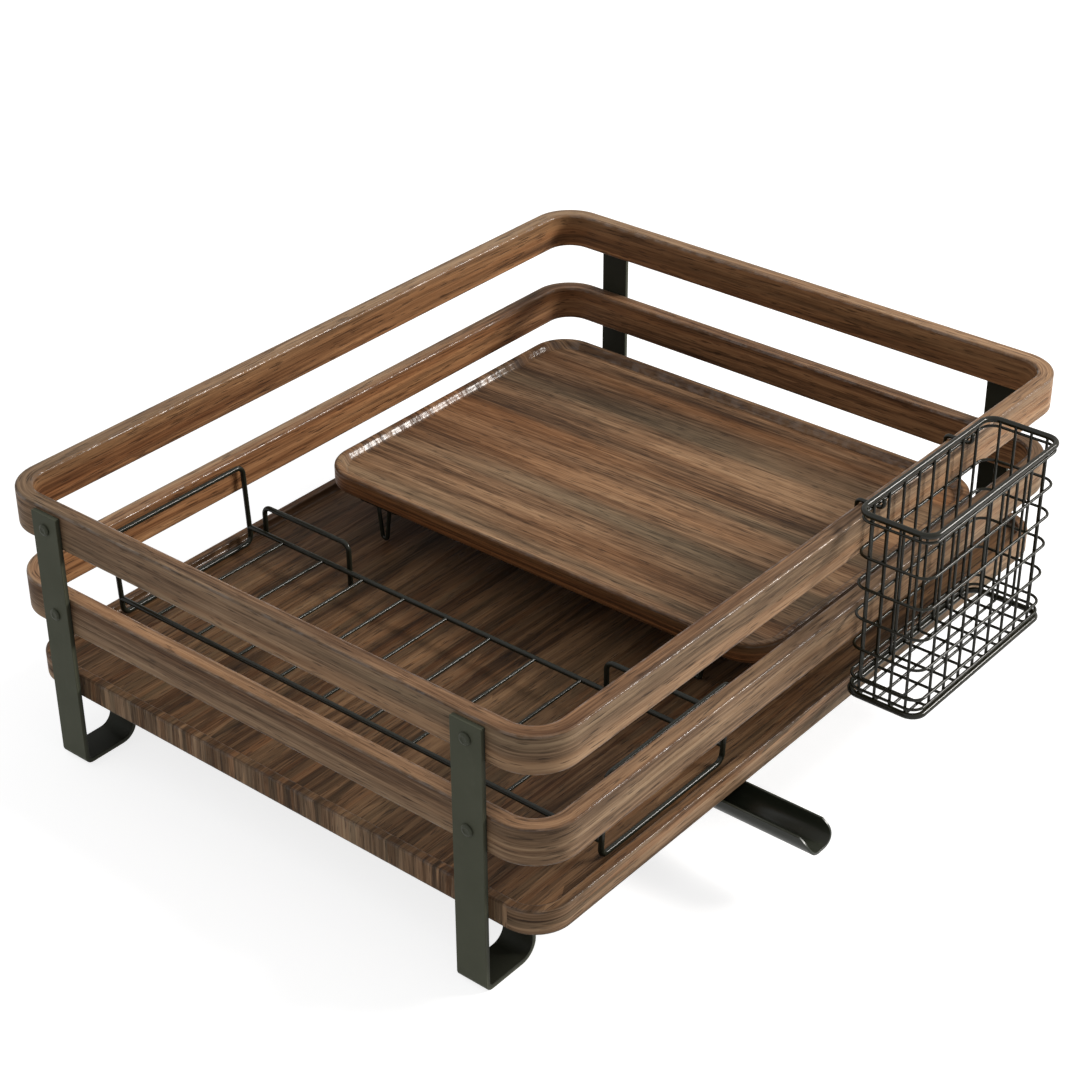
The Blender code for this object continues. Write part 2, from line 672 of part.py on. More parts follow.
def build_insert(insert, material):
    """The insert's origin is the middle of its front wire, at the height of its hoops' bottom bars."""
    half = hoop_x(INSERT_WIRE_RISE) - LONG_WIRE / 2 - GAP
    ends = [Vector((-half, 0, 0)), Vector((half, 0, 0))]
    long_wire = wire("insert_long_wire", ends, LONG_WIRE, Z_AXIS, material)
    place("insert_front_wire", long_wire, insert, (0, 0, INSERT_WIRE_RISE))
    place("insert_back_wire", long_wire, insert, (0, INSERT_DEPTH, INSERT_WIRE_RISE))
    reach = LONG_WIRE / 2 + GAP
    ends = [Vector((0, reach, 0)), Vector((0, INSERT_DEPTH - reach, 0))]
    cross_wire = wire("insert_cross_wire", ends, CROSS_WIRE, Z_AXIS, material)
    for i, x in enumerate(spread(CROSS_WIRE_COUNT, HOOP_LOW_X - CROSS_WIRE_MARGIN)):
        place(f"insert_cross_wire_{i + 1}", cross_wire, insert, (x, 0, INSERT_WIRE_RISE))
    stop_y = INSERT_DEPTH + LONG_WIRE + GAP
    for hand, side in (("left", -1), ("right", 1)):
        place(f"insert_hoop_{hand}", hoop_mesh(material, side), insert)
        place(f"insert_stop_{hand}", stop_mesh(material, side), insert, (0, stop_y, 0))


def ring_heights():
    """The heights of the basket's thin rings."""
    low = BASKET_BASE_Z + LAST_RING_RISE
    high = BASKET_RIM_Z - FIRST_RING_DROP
    middle = [(low + high) / 2 + up for up in spread(RING_COUNT, (high - low) / 2)]
    return [BASKET_BASE_Z + END_RING_OFFSET, *middle, END_RING_Z]


def side_upright_places():
    return spread(SIDE_UPRIGHT_COUNT, BASKET_LENGTH / 2 - SIDE_UPRIGHT_MARGIN)


def end_upright_places():
    return spread(END_UPRIGHT_COUNT, BASKET_WIDTH / 2 - BASKET_CORNER)


def basket_ring(name, height, material):
    """A closed thick ring of the basket: its rim or its base ring."""
    half_x, half_y = BASKET_WIDTH / 2, BASKET_LENGTH / 2
    corners = ((half_x, half_y), (-half_x, half_y), (-half_x, -half_y), (half_x, -half_y))
    corners = [(x, y, height) for x, y in corners]
    path = filleted(corners, [BASKET_CORNER] * len(corners), closed=True)
    return wire(name, path, RIM_WIRE, Z_AXIS, material, closed=True)


def upright_ends(x, y):
    """The two ends of an upright of the basket, just clear of the base ring and the rim."""
    low = BASKET_BASE_Z + RIM_WIRE / 2 + GAP
    high = BASKET_RIM_Z - RIM_WIRE / 2 - GAP
    return [Vector((x, y, low)), Vector((x, y, high))]


def side_wall(material, side):
    """A long wall: straight thin wires, welded on the outside of the uprights."""
    section = round_section(BASKET_WIRE, THIN_WIRE_SIDES)
    ring_x = side * BASKET_WIDTH / 2
    upright_x = ring_x - side * (BASKET_WIRE - WELD)
    reach = BASKET_LENGTH / 2 - BASKET_CORNER - GAP
    rings = bmesh.new()
    for z in ring_heights():
        swept(rings, [Vector((ring_x, -reach, z)), Vector((ring_x, reach, z))], section, X_AXIS)
    uprights = bmesh.new()
    for y in side_upright_places():
        swept(uprights, upright_ends(upright_x, y), section, X_AXIS)
    return combined(
        finished("basket_wall", rings, material), finished("uprights", uprights, material), "UNION"
    )


def end_wall(material, side):
    """A short wall, whose thin wires bend round both of its corners."""
    section = round_section(BASKET_WIRE, THIN_WIRE_SIDES)
    half_x, half_y = BASKET_WIDTH / 2, BASKET_LENGTH / 2
    upright_y = side * (half_y - BASKET_WIRE + WELD)
    tail_y = side * (half_y - BASKET_CORNER)
    rings = bmesh.new()
    for z in ring_heights():
        corners = ((-half_x, tail_y), (-half_x, side * half_y), (half_x, side * half_y), (half_x, tail_y))
        bent = filleted([(x, y, z) for x, y in corners], [BASKET_CORNER] * 2)
        swept(rings, bent[1:-1], section, Z_AXIS)
    uprights = bmesh.new()
    for x in end_upright_places():
        swept(uprights, upright_ends(x, upright_y), section, Y_AXIS)
    return combined(
        finished("basket_end", rings, material), finished("uprights", uprights, material), "UNION"
    )


def base_mesh(material):
    """The basket's base: its thick ring, cross wires on top and long wires welded below them."""
    section = round_section(BASKET_WIRE, THIN_WIRE_SIDES)
    cross_z = BASKET_BASE_Z + (BASKET_WIRE - WELD) / 2
    long_z = cross_z - BASKET_WIRE + WELD
    cross = bmesh.new()
    half_x = BASKET_WIDTH / 2
    for y in side_upright_places():
        swept(cross, [Vector((-half_x, y, cross_z)), Vector((half_x, y, cross_z))], section, Z_AXIS)
    long = bmesh.new()
    half_y = BASKET_LENGTH / 2
    for x in end_upright_places():
        swept(long, [Vector((x, -half_y, long_z)), Vector((x, half_y, long_z))], section, Z_AXIS)
    mesh = basket_ring("basket_base", BASKET_BASE_Z, material)
    for wires in (cross, long):
        mesh = combined(mesh, finished("base_wires", wires, material), "UNION")
    return mesh


def hook_mesh(material):
    """A wire hook over the top rail, about the basket's middle."""
    half = HOOK_WIRE / 2
    rail_face_x = -BASKET_WIDTH / 2 - BASKET_GAP
    inner_x = rail_face_x - RAIL_THICKNESS - HOOK_RAIL_CLEARANCE - half
    outer_x = -BASKET_WIDTH / 2 + BASKET_WIRE / 2 + GAP + half
    points = [
        (inner_x, 0, HOOK_Z - HOOK_DROP),
        (inner_x, 0, HOOK_Z),
        (outer_x, 0, HOOK_Z),
        (outer_x, 0, BASKET_RIM_Z - RIM_WIRE / 2 - GAP),
    ]
    path = filleted(points, (HOOK_BEND, HOOK_BEND))
    return wire("basket_hook", path, HOOK_WIRE, Y_AXIS, material)


def build_basket(basket, material):
    place("basket_rim", basket_ring("basket_rim", BASKET_RIM_Z, material), basket)
    place("basket_base", base_mesh(material), basket)
    place("basket_wall_inner", side_wall(material, -1), basket)
    place("basket_wall_outer", side_wall(material, 1), basket)
    place("basket_wall_front", end_wall(material, -1), basket)
    place("basket_wall_back", end_wall(material, 1), basket)
    hook = hook_mesh(material)
    last, beside, *_ = side_upright_places()
    hook_y = (last + beside) / 2
    place("basket_hook_front", hook, basket, (0, hook_y, 0))
    place("basket_hook_back", hook, basket, (0, -hook_y, 0))


def build_rack():
    clear_scene()
    rail_walnut = make_material("rail_walnut", (0.17, 0.10, 0.06), 0.45, 0)
    tray_walnut = make_material("tray_walnut", (0.15, 0.10, 0.07), 0.5, 0)
    shelf_walnut = make_material("shelf_walnut", (0.19, 0.11, 0.06), 0.4, 0)
    leg_steel = make_material("leg_steel", (0.045, 0.05, 0.04), 0.55, 0.6)
    screw_steel = make_material("screw_steel", (0.06, 0.06, 0.055), 0.45, 0.8)
    insert_steel = make_material("insert_steel", (0.05, 0.052, 0.045), 0.4, 0.8)
    basket_steel = make_material("basket_steel", (0.07, 0.072, 0.062), 0.35, 0.9)
    spout_plastic = make_material("spout_plastic", (0.02, 0.022, 0.018), 0.5, 0)
    drain_steel = make_material("drain_steel", (0.35, 0.35, 0.34), 0.35, 1)

    rack = make_empty("rack", (-OVERHANG / 2, 0, 0))
    rail = rail_mesh(rail_walnut)
    place("top_rail", rail, rack, (0, 0, TOP_RAIL_Z))
    place("middle_rail", rail, rack, (0, 0, MIDDLE_RAIL_Z))
    place("drip_tray", tray_mesh(tray_walnut), rack, (0, 0, TRAY_Z))
    build_legs(rack, leg_steel, screw_steel)
    pivot = make_empty("spout_pivot", (DRAIN_X, DRAIN_Y, TRAY_Z), rack)
    build_drain(rack, pivot, drain_steel, spout_plastic)
    shelf_y = (SHELF_FRONT_Y + SHELF_BACK_Y) / 2
    shelf = make_empty("shelf", (SHELF_SIDE_OFFSET, shelf_y, SHELF_Z), rack)
    build_shelf(shelf, shelf_walnut, insert_steel, screw_steel)
    insert = make_empty("insert", (0, INSERT_Y, INSERT_Z), rack)
    build_insert(insert, insert_steel)
    basket = make_empty("basket", (BASKET_X, BASKET_CENTRE_Y, 0), rack)
    build_basket(basket, basket_steel)


build_rack()
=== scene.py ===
"""The looks of the countertop dish rack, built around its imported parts.

Metres, +Z up, in the frame of the parts: X runs along the short front and Y along the long side to the back.
"""

import math

import bmesh
import bpy
from mathutils import Matrix, Vector


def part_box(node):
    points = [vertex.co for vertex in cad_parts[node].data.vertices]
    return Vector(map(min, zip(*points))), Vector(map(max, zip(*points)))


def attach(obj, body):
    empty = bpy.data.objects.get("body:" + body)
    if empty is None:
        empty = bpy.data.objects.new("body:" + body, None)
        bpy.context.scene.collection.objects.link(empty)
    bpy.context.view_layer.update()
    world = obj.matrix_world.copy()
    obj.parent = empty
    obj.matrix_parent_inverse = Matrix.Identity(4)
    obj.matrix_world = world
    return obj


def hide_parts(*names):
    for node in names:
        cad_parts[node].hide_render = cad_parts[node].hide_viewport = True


X_AXIS = Vector((1, 0, 0))
Y_AXIS = Vector((0, 1, 0))
Z_AXIS = Vector((0, 0, 1))

# Finer steps than the parts have
CORNER_STEPS = 20
BEND_STEPS = 8
EDGE_STEPS = 4
EDGE_MARGIN = 0.0005
WIRE_SIDES = 16
TURNED_STEPS = 48
WELD_DISTANCE = 0.000002
NEARLY_ZERO = 1e-9

# Soft edges of the pieces
BEVEL_STEPS = 3
BEVEL_ANGLE = math.radians(40)
NORMAL_WEIGHT = 60

# The rack stands this far left of the middle of the whole box, which takes in the basket and the spout
RACK_X = -0.0255

# Rails
RAIL_THICKNESS = 0.0103
RAIL_CORNER = 0.027
RAIL_OUTER_EDGE = 0.0008
RAIL_INNER_EDGE = 0.0016

# Tray
TRAY_CORNER = 0.0225
TRAY_FLOOR = 0.0105
TRAY_RIM = 0.006
TRAY_COVE = 0.0025
TRAY_OUTER_EDGE = 0.001
TRAY_INNER_EDGE = 0.0008
TRAY_HOLE = 0.0156
TRAY_LAYERS = 1
TRAY_SEED = 3

# Shelf
SHELF_CORNER = 0.025
SHELF_RIM = 0.0035
SHELF_RECESS = 0.0045
SHELF_COVE = 0.0050
SHELF_EDGE = 0.0018
SHELF_LAYERS = 3
SHELF_SEED = 4

# Legs
STRAP_THICKNESS = 0.003
STRAP_EDGE = 0.00035
FOOT_REACH = 0.033
FOOT_FRONT_BEND = 0.0035
FOOT_BACK_BEND = 0.0095
TAB_LENGTH = 0.0145
TAB_BEND = 0.003
STRAP_GAP = 0.0003

# Screw heads
CROWN_STEPS = 6
HEAD_SHARE = 0.37
SHANK_SHARE = 0.45
BRIM_SHARE = 0.7
DIMPLE_SHARE = 0.50
DIMPLE_FLOOR_SHARE = 0.82
DIMPLE_DEPTH = 0.00030
SCREW_EDGE = 0.0001

# Spout, drain
SPOUT_WALL = 0.0015
SPOUT_BEND = 0.0095
SPOUT_NOSE_LENGTH = 0.0155
SPOUT_NOSE_DROP = 0.0125
SPOUT_PLATE_REACH = 0.0115
SPOUT_STEPS = 14
SPOUT_EDGE = 0.0003
SPOUT_EDGE_ANGLE = math.radians(50)
SPOUT_PLATE_EDGE = 0.0002
DRAIN_BORE = 0.011
DRAIN_TUBE = 0.015
DRAIN_LIP = 0.0007
DRAIN_EDGE = 0.0002
RETAINER_EDGE = 0.0003

# Wires
HAIRPIN_WIRE = 0.0026
HAIRPIN_SPREAD = 0.010
HAIRPIN_BEND = 0.0021
HAIRPIN_PLATE = 0.002
HAIRPIN_PLATE_EDGE = 0.0003
HAIRPIN_PLATE_CORNER_SHARE = 0.6
LONG_WIRE = 0.0032
CROSS_WIRE = 0.002
CROSS_WIRE_COUNT = 10
HOOP_BEND = 0.005
STOP_BEND = 0.005
RIM_WIRE = 0.0036
BASKET_WIRE = 0.0017
BASKET_WELD = 0.0006
BASKET_CORNER = 0.008
BASKET_BEND = 0.003
END_RING_OFFSET = 0.0043
FIRST_RING_DROP = 0.0264
LAST_RING_RISE = 0.0107
RING_COUNT = 5
SIDE_UPRIGHT_COUNT = 8
SIDE_UPRIGHT_MARGIN = 0.01435
END_UPRIGHT_COUNT = 4
HOOK_WIRE = 0.0024
HOOK_BEND = 0.003

# Walnut: waves in a metre across the grain and along it, and how the patterns mix
WANDER_WAVES = (5, 1.5)
RIPPLE_WAVES = (70, 12)
WANDER_REACH = 0.014
RIPPLE_REACH = 0.0016
BAND_ALONG = 2.2
STREAK_ALONG = 7
TINT_ALONG = 1.8
FIBRE_WAVES = (900, 30)
PORE_WAVES = (850, 75)
GRIT_WAVES = (1600, 900)
PATCH_WAVES = (230, 120)
STRIP_WAVES = (230, 14)
BAND_RANGE = (0.34, 0.66)
STREAK_RANGE = (0.30, 0.70)
FIBRE_RANGE = (0.28, 0.72)
PORE_RANGE = (0.60, 0.70)
ORANGE_RANGE = (0.48, 0.68)
GREY_RANGE = (0.50, 0.66)
PATCH_RANGE = (0.42, 0.60)
BAND_SHARE = 0.32
STREAK_SHARE = 0.38
FIBRE_SHARE = 0.30
ORANGE_BAND_SHARE = 0.9
GREY_BAND_SHARE = 0.8
MIDDLE_TONE = 0.5
STRIP_PICK = (0.70, 0.75)
STRIP_ORANGE = 0.25
STRIP_GREY = 0.35
TONE_STOPS = (0.10, 0.32, 0.50, 0.68, 0.92)
PORE_DARKNESS = 0.6
EDGE_DARKNESS = 0.30
WOOD_RELIEF = 0.00014
WOOD_BUMP = 0.9
FIBRE_RISE = 0.5
STREAK_RISE = 0.4
GRIT_RISE = 0.5
PORE_RISE = -1.0
DULL_COAT_SHARE = 0.1
WOOD_GLOSS_TONES = (0.2, 0.8)
WOOD_ROUGHNESS = (0.62, 0.48)
WOOD_COAT_ROUGHNESS = 0.16
WOOD_COAT_IOR = 1.55
WOOD_SPECULAR = 0.10
# Painted shade, darker and warm like bounced light, on the rails' inner faces
INWARD_SHADE_TINT = (1.0, 0.8, 0.62)

# Steel: waves in a metre, how far the patterns spread, and the finish
CLOUD_WAVES = (38, 38, 38)
RUB_WAVES = (140, 140, 60)
STRAP_GRIT = 900
WIRE_GRIT = 1500
CLOUD_RANGE = (0.35, 0.65)
RUB_RANGE = (0.60, 0.80)
STEEL_MOTTLE = 0.35
RUB_SHARE = 0.5
DARK_SHARE = 0.72
# Painted shade: the near-black tone that the steel's inner faces go towards
INSIDE_SHADE_TONE = (0.004, 0.004, 0.003, 1)
CLOUD_ROUGHNESS = 0.12
GRIT_ROUGHNESS = 0.08
STEEL_BUMP = 0.35
STEEL_RELIEF = 0.00006
WIRE_RELIEF = 0.000008
STEEL_COAT_IOR = 1.7

# The drain's bare steel
TURNING_WAVES = (420, 420, 2600)
STAIN_WAVES = (90, 90, 90)
STAIN_RANGE = (0.4, 0.7)
TURNING_RANGE = (0.3, 0.7)
DRAIN_ROUGHNESS = (0.24, 0.40)
DRAIN_BUMP = 0.3
DRAIN_RELIEF = 0.00005

# The photograph's camera
CAMERA_PLACE = (0.7259, -0.9197, 0.8108)
CAMERA_AZIMUTH = math.radians(39.693)
CAMERA_ELEVATION = math.radians(31.380)
CAMERA_ROLL = math.radians(-0.354)
CAMERA_LENS = 78.004
CAMERA_SENSOR = 36

# Floor and world: what they give as light, and what they add where they are seen or mirrored
FLOOR_SIZE = 6
FLOOR_COLOUR = (0.5, 0.5, 0.5, 1)
FLOOR_ROUGHNESS = 0.9
FLOOR_GLOW = 0.78
WORLD_LIGHT = 0.42
WORLD_GLOW = 0.58
WHITE = (1, 1, 1, 1)

# Lamps
LAMP_TARGET = (0, 0, 0.08)
KEY_PLACE = (1.22, 1.33, 1.16)
KEY_SIZE = (0.85, 0.32)
KEY_POWER = 47
KEY_COLOUR = (1.0, 0.97, 0.93)
FILL_PLACE = (-1.5, -1.2, 1.6)
FILL_SIZE = (3.0, 3.0)
FILL_POWER = 8
FILL_COLOUR = (0.93, 0.96, 1.0)


def srgb(red, green, blue):
    """The linear colour of an 8-bit screen colour."""
    shares = [value / 255 for value in (red, green, blue)]
    linear = [s / 12.92 if s <= 0.04045 else ((s + 0.055) / 1.055) ** 2.4 for s in shares]
    return (*linear, 1)


ORANGE_TONES = (srgb(96, 58, 32), srgb(178, 122, 76))
GREY_TONES = (srgb(62, 53, 41), srgb(128, 113, 90))
PORE_TONE = srgb(36, 25, 17)
EDGE_TONE = srgb(62, 46, 32)
RAIL_TONES = (
    srgb(70, 52, 40), srgb(104, 81, 62), srgb(134, 107, 83), srgb(156, 127, 99), srgb(180, 150, 119)
)
TRAY_TONES = (
    srgb(71, 53, 39), srgb(105, 82, 61), srgb(137, 109, 84), srgb(162, 131, 102), srgb(188, 157, 124)
)
SHELF_TONES = (
    srgb(58, 41, 29), srgb(88, 65, 46), srgb(117, 88, 64), srgb(143, 111, 82), srgb(168, 135, 102)
)
# Painted shade, darker and warm like bounced light: on the tray's rim, dish and underside, and on the shelf's
# outer wall
TRAY_SHADE_TINT = (0.48, 0.42, 0.35)
SHELF_SHADE_TINT = (0.78, 0.58, 0.40)
BRIGHT_STEEL = srgb(176, 176, 170)
STAINED_STEEL = srgb(138, 136, 128)


# Paths and meshes


def filleted(points, radii, closed=False):
    """The points as a path whose corners are arcs; radii holds one radius for each corner, in order."""
    points = [Vector(point) for point in points]
    corners = range(len(points)) if closed else range(1, len(points) - 1)
    radius_of = dict(zip(corners, radii))
    path = []
    for i, corner in enumerate(points):
        if i not in radius_of:
            path.append(corner)
            continue
        to_last = (points[i - 1] - corner).normalized()
        to_next = (points[(i + 1) % len(points)] - corner).normalized()
        half = to_last.angle(to_next) / 2
        radius = radius_of[i]
        centre = corner + (to_last + to_next).normalized() * radius / math.sin(half)
        start = corner + to_last * radius / math.tan(half) - centre
        end = corner + to_next * radius / math.tan(half) - centre
        turn = math.pi - 2 * half
        for step in range(BEND_STEPS + 1):
            share = step / BEND_STEPS
            blend = math.sin((1 - share) * turn) * start + math.sin(share * turn) * end
            path.append(centre + blend / math.sin(turn))
    return path


def rounded_outline(low, high, radius):
    """A rectangle with round corners about a box, anticlockwise from the middle of its back."""
    centre = (low + high) / 2
    half = (high - low) / 2
    path = [Vector((0, half.y, 0))]
    for quarter, (side_x, side_y) in enumerate(((-1, 1), (-1, -1), (1, -1), (1, 1)), start=1):
        for step in range(CORNER_STEPS + 1):
            angle = math.pi / 2 * (quarter + step / CORNER_STEPS)
            x = side_x * (half.x - radius) + radius * math.cos(angle)
            y = side_y * (half.y - radius) + radius * math.sin(angle)
            path.append(Vector((x, y, 0)))
    return [point + Vector((centre.x, centre.y, low.z)) for point in path]


def arc(centre, radius, start, end, steps=EDGE_STEPS):
    """Points of an arc in the plane; the angles are in quarter turns."""
    angles = [math.pi / 2 * (start + (end - start) * i / steps) for i in range(steps + 1)]
    return [(centre[0] + radius * math.cos(a), centre[1] + radius * math.sin(a)) for a in angles]


def running_lengths(points, closed):
    """The distance along the points at each of them, and at the first again where the line closes."""
    points = [Vector(point) for point in points]
    lengths = [0]
    for a, b in zip(points, points[1:] + points[:1] if closed else points[1:]):
        lengths.append(lengths[-1] + (b - a).length)
    return lengths


def side_of(path, i, normal, closed):
    """The direction across the path at one of its points, longer at a bend so that the width stays true."""
    sides = []
    if closed or i > 0:
        sides.append(normal.cross(path[i] - path[i - 1]).normalized())
    if closed or i < len(path) - 1:
        sides.append(normal.cross(path[(i + 1) % len(path)] - path[i]).normalized())
    mean = sum(sides, Vector()) / len(sides)
    return mean / mean.length_squared


def eased(section, closed=False):
    """The section with two more points on each flat, just beside its round edges."""
    points = []
    for a, b in zip(section, section[1:] + section[:1] if closed else section[1:]):
        points.append(a)
        a, b = Vector(a), Vector(b)
        length = (b - a).length
        if length > 4 * EDGE_MARGIN:
            step = (b - a) * EDGE_MARGIN / length
            points += [tuple(a + step), tuple(b - step)]
    return points if closed else points + [section[-1]]


def loop_layer(bm, name):
    return bm.loops.layers.float_vector.get(name) or bm.loops.layers.float_vector.new(name)


def grain_places(path, closed):
    """The grain's place at each point of the path, in a plane. On a circle, a closed path has no seam."""
    travel = running_lengths(path, closed)
    if not closed:
        return [(length, 0) for length in travel]
    radius = travel[-1] / (2 * math.pi)
    return [(radius * math.cos(length / radius), radius * math.sin(length / radius)) for length in travel]


def swept(bm, path, section, normal, path_closed=False, section_closed=True, seed=0, marks=None):
    """Sweeps a section of (across, along the normal) pairs along a flat path. What stays open is capped.

    The grain layer holds the distance round the section, moved on by the seed, and the two values of the
    grain's place along the path. The marks layer holds what marks(point) gives for the section's points: how
    far each is an edge, and how much painted shade it gets. Returns the quads as rows along the path, and the
    caps.
    """
    grain = loop_layer(bm, "grain")
    marked = loop_layer(bm, "marks")
    values = [marks(point) if marks else (0, 0, 0) for point in section]
    places = grain_places(path, path_closed)
    girth = running_lengths([Vector((*point, 0)) for point in section], section_closed)
    rows = []
    for i, point in enumerate(path):
        side = side_of(path, i, normal, path_closed)
        rows.append([bm.verts.new(point + side * across + normal * up) for across, up in section])
    quads = []
    for i in range(len(rows) if path_closed else len(rows) - 1):
        near, far = rows[i], rows[(i + 1) % len(rows)]
        quads.append([])
        for j in range(len(section) if section_closed else len(section) - 1):
            k = (j + 1) % len(section)
            face = bm.faces.new((near[j], near[k], far[k], far[j]))
            for loop, a, b in zip(face.loops, (i, i, i + 1, i + 1), (j, j + 1, j + 1, j)):
                loop[grain] = (girth[b] + seed, *places[a])
                loop[marked] = values[b % len(section)]
            quads[-1].append(face)
    caps = []
    if not path_closed:
        caps = [bm.faces.new(rows[0]), bm.faces.new(rows[-1])]
    if not section_closed:
        caps = [bm.faces.new([row[0] for row in rows]), bm.faces.new([row[-1] for row in rows])]
    return quads, caps


def round_section(diameter):
    angles = [2 * math.pi * i / WIRE_SIDES for i in range(WIRE_SIDES)]
    return [(diameter / 2 * math.cos(angle), diameter / 2 * math.sin(angle)) for angle in angles]


def turned(bm, profile, closed=False, at=Matrix.Identity(4)):
    """Turns a profile of (radius, height) points about the Z axis of the given place."""
    verts = [bm.verts.new((radius, 0, height)) for radius, height in profile]
    ends = zip(verts, verts[1:] + verts[:1]) if closed else zip(verts, verts[1:])
    edges = [bm.edges.new(pair) for pair in ends]
    before = set(bm.verts)
    bmesh.ops.spin(
        bm, geom=verts + edges, cent=(0, 0, 0), axis=Z_AXIS,
        angle=2 * math.pi, steps=TURNED_STEPS, use_merge=True,
    )
    made = [vert for vert in bm.verts if vert not in before] + verts
    made = [vert for vert in made if vert.is_valid]
    bmesh.ops.transform(bm, matrix=at, verts=made)
    bmesh.ops.remove_doubles(bm, verts=made, dist=WELD_DISTANCE)


def mesh_from(name, bm):
    bmesh.ops.recalc_face_normals(bm, faces=bm.faces)
    mesh = bpy.data.meshes.new(name)
    bm.to_mesh(mesh)
    bm.free()
    return mesh


def linked(name, mesh):
    obj = bpy.data.objects.new(name, mesh)
    bpy.context.scene.collection.objects.link(obj)
    return obj


def cut_by(mesh, tool):
    """The mesh after an exact Boolean difference with the tool mesh."""
    base, cutter = linked("base", mesh), linked("cutter", tool)
    modifier = base.modifiers.new("cut", "BOOLEAN")
    modifier.operation = "DIFFERENCE"
    modifier.object = cutter
    graph = bpy.context.evaluated_depsgraph_get()
    result = bpy.data.meshes.new_from_object(base.evaluated_get(graph))
    bpy.data.objects.remove(base)
    bpy.data.objects.remove(cutter)
    return result


def piece(name, mesh, material, body, nodes, bevel=0):
    """Puts a piece in the scene, with its soft edges and material, its body and the nodes it stands for."""
    mesh.materials.clear()
    mesh.materials.append(material)
    mesh.shade_smooth()
    obj = linked(name, mesh)
    if bevel:
        rounding = obj.modifiers.new("edges", "BEVEL")
        rounding.width = bevel
        rounding.segments = BEVEL_STEPS
        rounding.limit_method = "ANGLE"
        rounding.angle_limit = BEVEL_ANGLE
        rounding.use_clamp_overlap = True
    normals = obj.modifiers.new("normals", "WEIGHTED_NORMAL")
    normals.keep_sharp = False
    normals.weight = NORMAL_WEIGHT
    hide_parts(*nodes)
    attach(obj, body)
    return obj


def wire(name, path, diameter, normal, material, body, nodes, closed=False):
    bm = bmesh.new()
    swept(bm, path, round_section(diameter), normal, path_closed=closed)
    piece(name, mesh_from(name, bm), material, body, nodes)


# Materials


def shader_nodes(name):
    """A new material with its node tree and its Principled BSDF."""
    material = bpy.data.materials.new(name)
    material.use_nodes = True
    tree = material.node_tree
    return material, tree, tree.nodes["Principled BSDF"]


def add(tree, kind, inputs=(), **settings):
    """A new node; an input is a value or another node's output."""
    node = tree.nodes.new(kind)
    for key, value in settings.items():
        setattr(node, key, value)
    for key, value in dict(inputs).items():
        if isinstance(value, bpy.types.NodeSocket):
            tree.links.new(value, node.inputs[key])
        else:
            node.inputs[key].default_value = value
    return node


def maths(tree, operation, a, b=0.0, c=0.0, clamp=False):
    return add(tree, "ShaderNodeMath", {0: a, 1: b, 2: c}, operation=operation, use_clamp=clamp).outputs[0]


def scaled(tree, vector, factors):
    return add(tree, "ShaderNodeVectorMath", {0: vector, 1: factors}, operation="MULTIPLY").outputs[0]


def noise(tree, vector, detail=2.0, roughness=0.5):
    inputs = {"Vector": vector, "Scale": 1.0, "Detail": detail, "Roughness": roughness}
    return add(tree, "ShaderNodeTexNoise", inputs).outputs[0]


def mixed(tree, factor, a, b, blend="MIX"):
    return add(
        tree, "ShaderNodeMix", {0: factor, 6: a, 7: b}, data_type="RGBA", blend_type=blend
    ).outputs[2]


def ramp(tree, factor, stops):
    """A colour ramp; stops are (position, colour) pairs."""
    node = add(tree, "ShaderNodeValToRGB", {0: factor})
    elements = node.color_ramp.elements
    while len(elements) < len(stops):
        elements.new(0.5)
    for element, (position, colour) in zip(elements, stops):
        element.position = position
        element.color = colour
    return node.outputs[0]


def spread_out(tree, value, low, high, to_low=0.0, to_high=1.0):
    inputs = {0: value, 1: low, 2: high, 3: to_low, 4: to_high}
    return add(tree, "ShaderNodeMapRange", inputs, clamp=True).outputs[0]


def attribute(tree, name):
    return add(tree, "ShaderNodeAttribute", attribute_name=name, attribute_type="GEOMETRY").outputs["Vector"]


def waves(tree, grain, counts, **settings):
    """Noise drawn out along the grain; counts are its waves in a metre across the grain and along it."""
    across, along = counts
    return noise(tree, scaled(tree, grain, (across, along, along)), **settings)


def layered(tree, layers):
    """The sum of (pattern, share) layers."""
    total = 0.0
    for pattern, share in layers:
        total = maths(tree, "MULTIPLY_ADD", pattern, share, total)
    return total


def bent_grain(tree, grain):
    """The grain's place, moved sideways by slow waves and small ripples."""
    wander = waves(tree, grain, WANDER_WAVES, detail=1)
    ripple = waves(tree, grain, RIPPLE_WAVES, detail=1)
    shift = layered(tree, ((wander, WANDER_REACH), (ripple, RIPPLE_REACH)))
    sideways = add(tree, "ShaderNodeCombineXYZ", {0: shift}).outputs[0]
    return add(tree, "ShaderNodeVectorMath", {0: grain, 1: sideways}, operation="ADD").outputs[0]


def band_share(tree, bent, count, limits, strength):
    """How strong a tint is, from 0 to its strength, in wide bands along the grain."""
    return spread_out(tree, waves(tree, bent, (count, TINT_ALONG)), *limits, 0, strength)


def strip_values(tree, bent):
    """Three random values for each glued strip."""
    across, along = STRIP_WAVES
    place = scaled(tree, bent, (across, along, along))
    cells = add(tree, "ShaderNodeTexVoronoi", {"Vector": place, "Scale": 1.0})
    return add(tree, "ShaderNodeSeparateColor", {0: cells.outputs["Color"]}).outputs


def with_picked_strips(tree, share, value, strength):
    """The share of a tint, made stronger in the few strips that the value picks."""
    return maths(tree, "MULTIPLY_ADD", spread_out(tree, value, *STRIP_PICK), strength, share, clamp=True)


def wood_colour(tree, mixture, tones, tints, pores):
    """The tones of the wood from dark to light, with (share, colours) tints over them, and its dark pores."""
    colour = ramp(tree, mixture, list(zip(TONE_STOPS, tones)))
    for share, ends in tints:
        colour = mixed(tree, share, colour, mixed(tree, mixture, *ends))
    return mixed(tree, maths(tree, "MULTIPLY", pores, PORE_DARKNESS), colour, PORE_TONE)


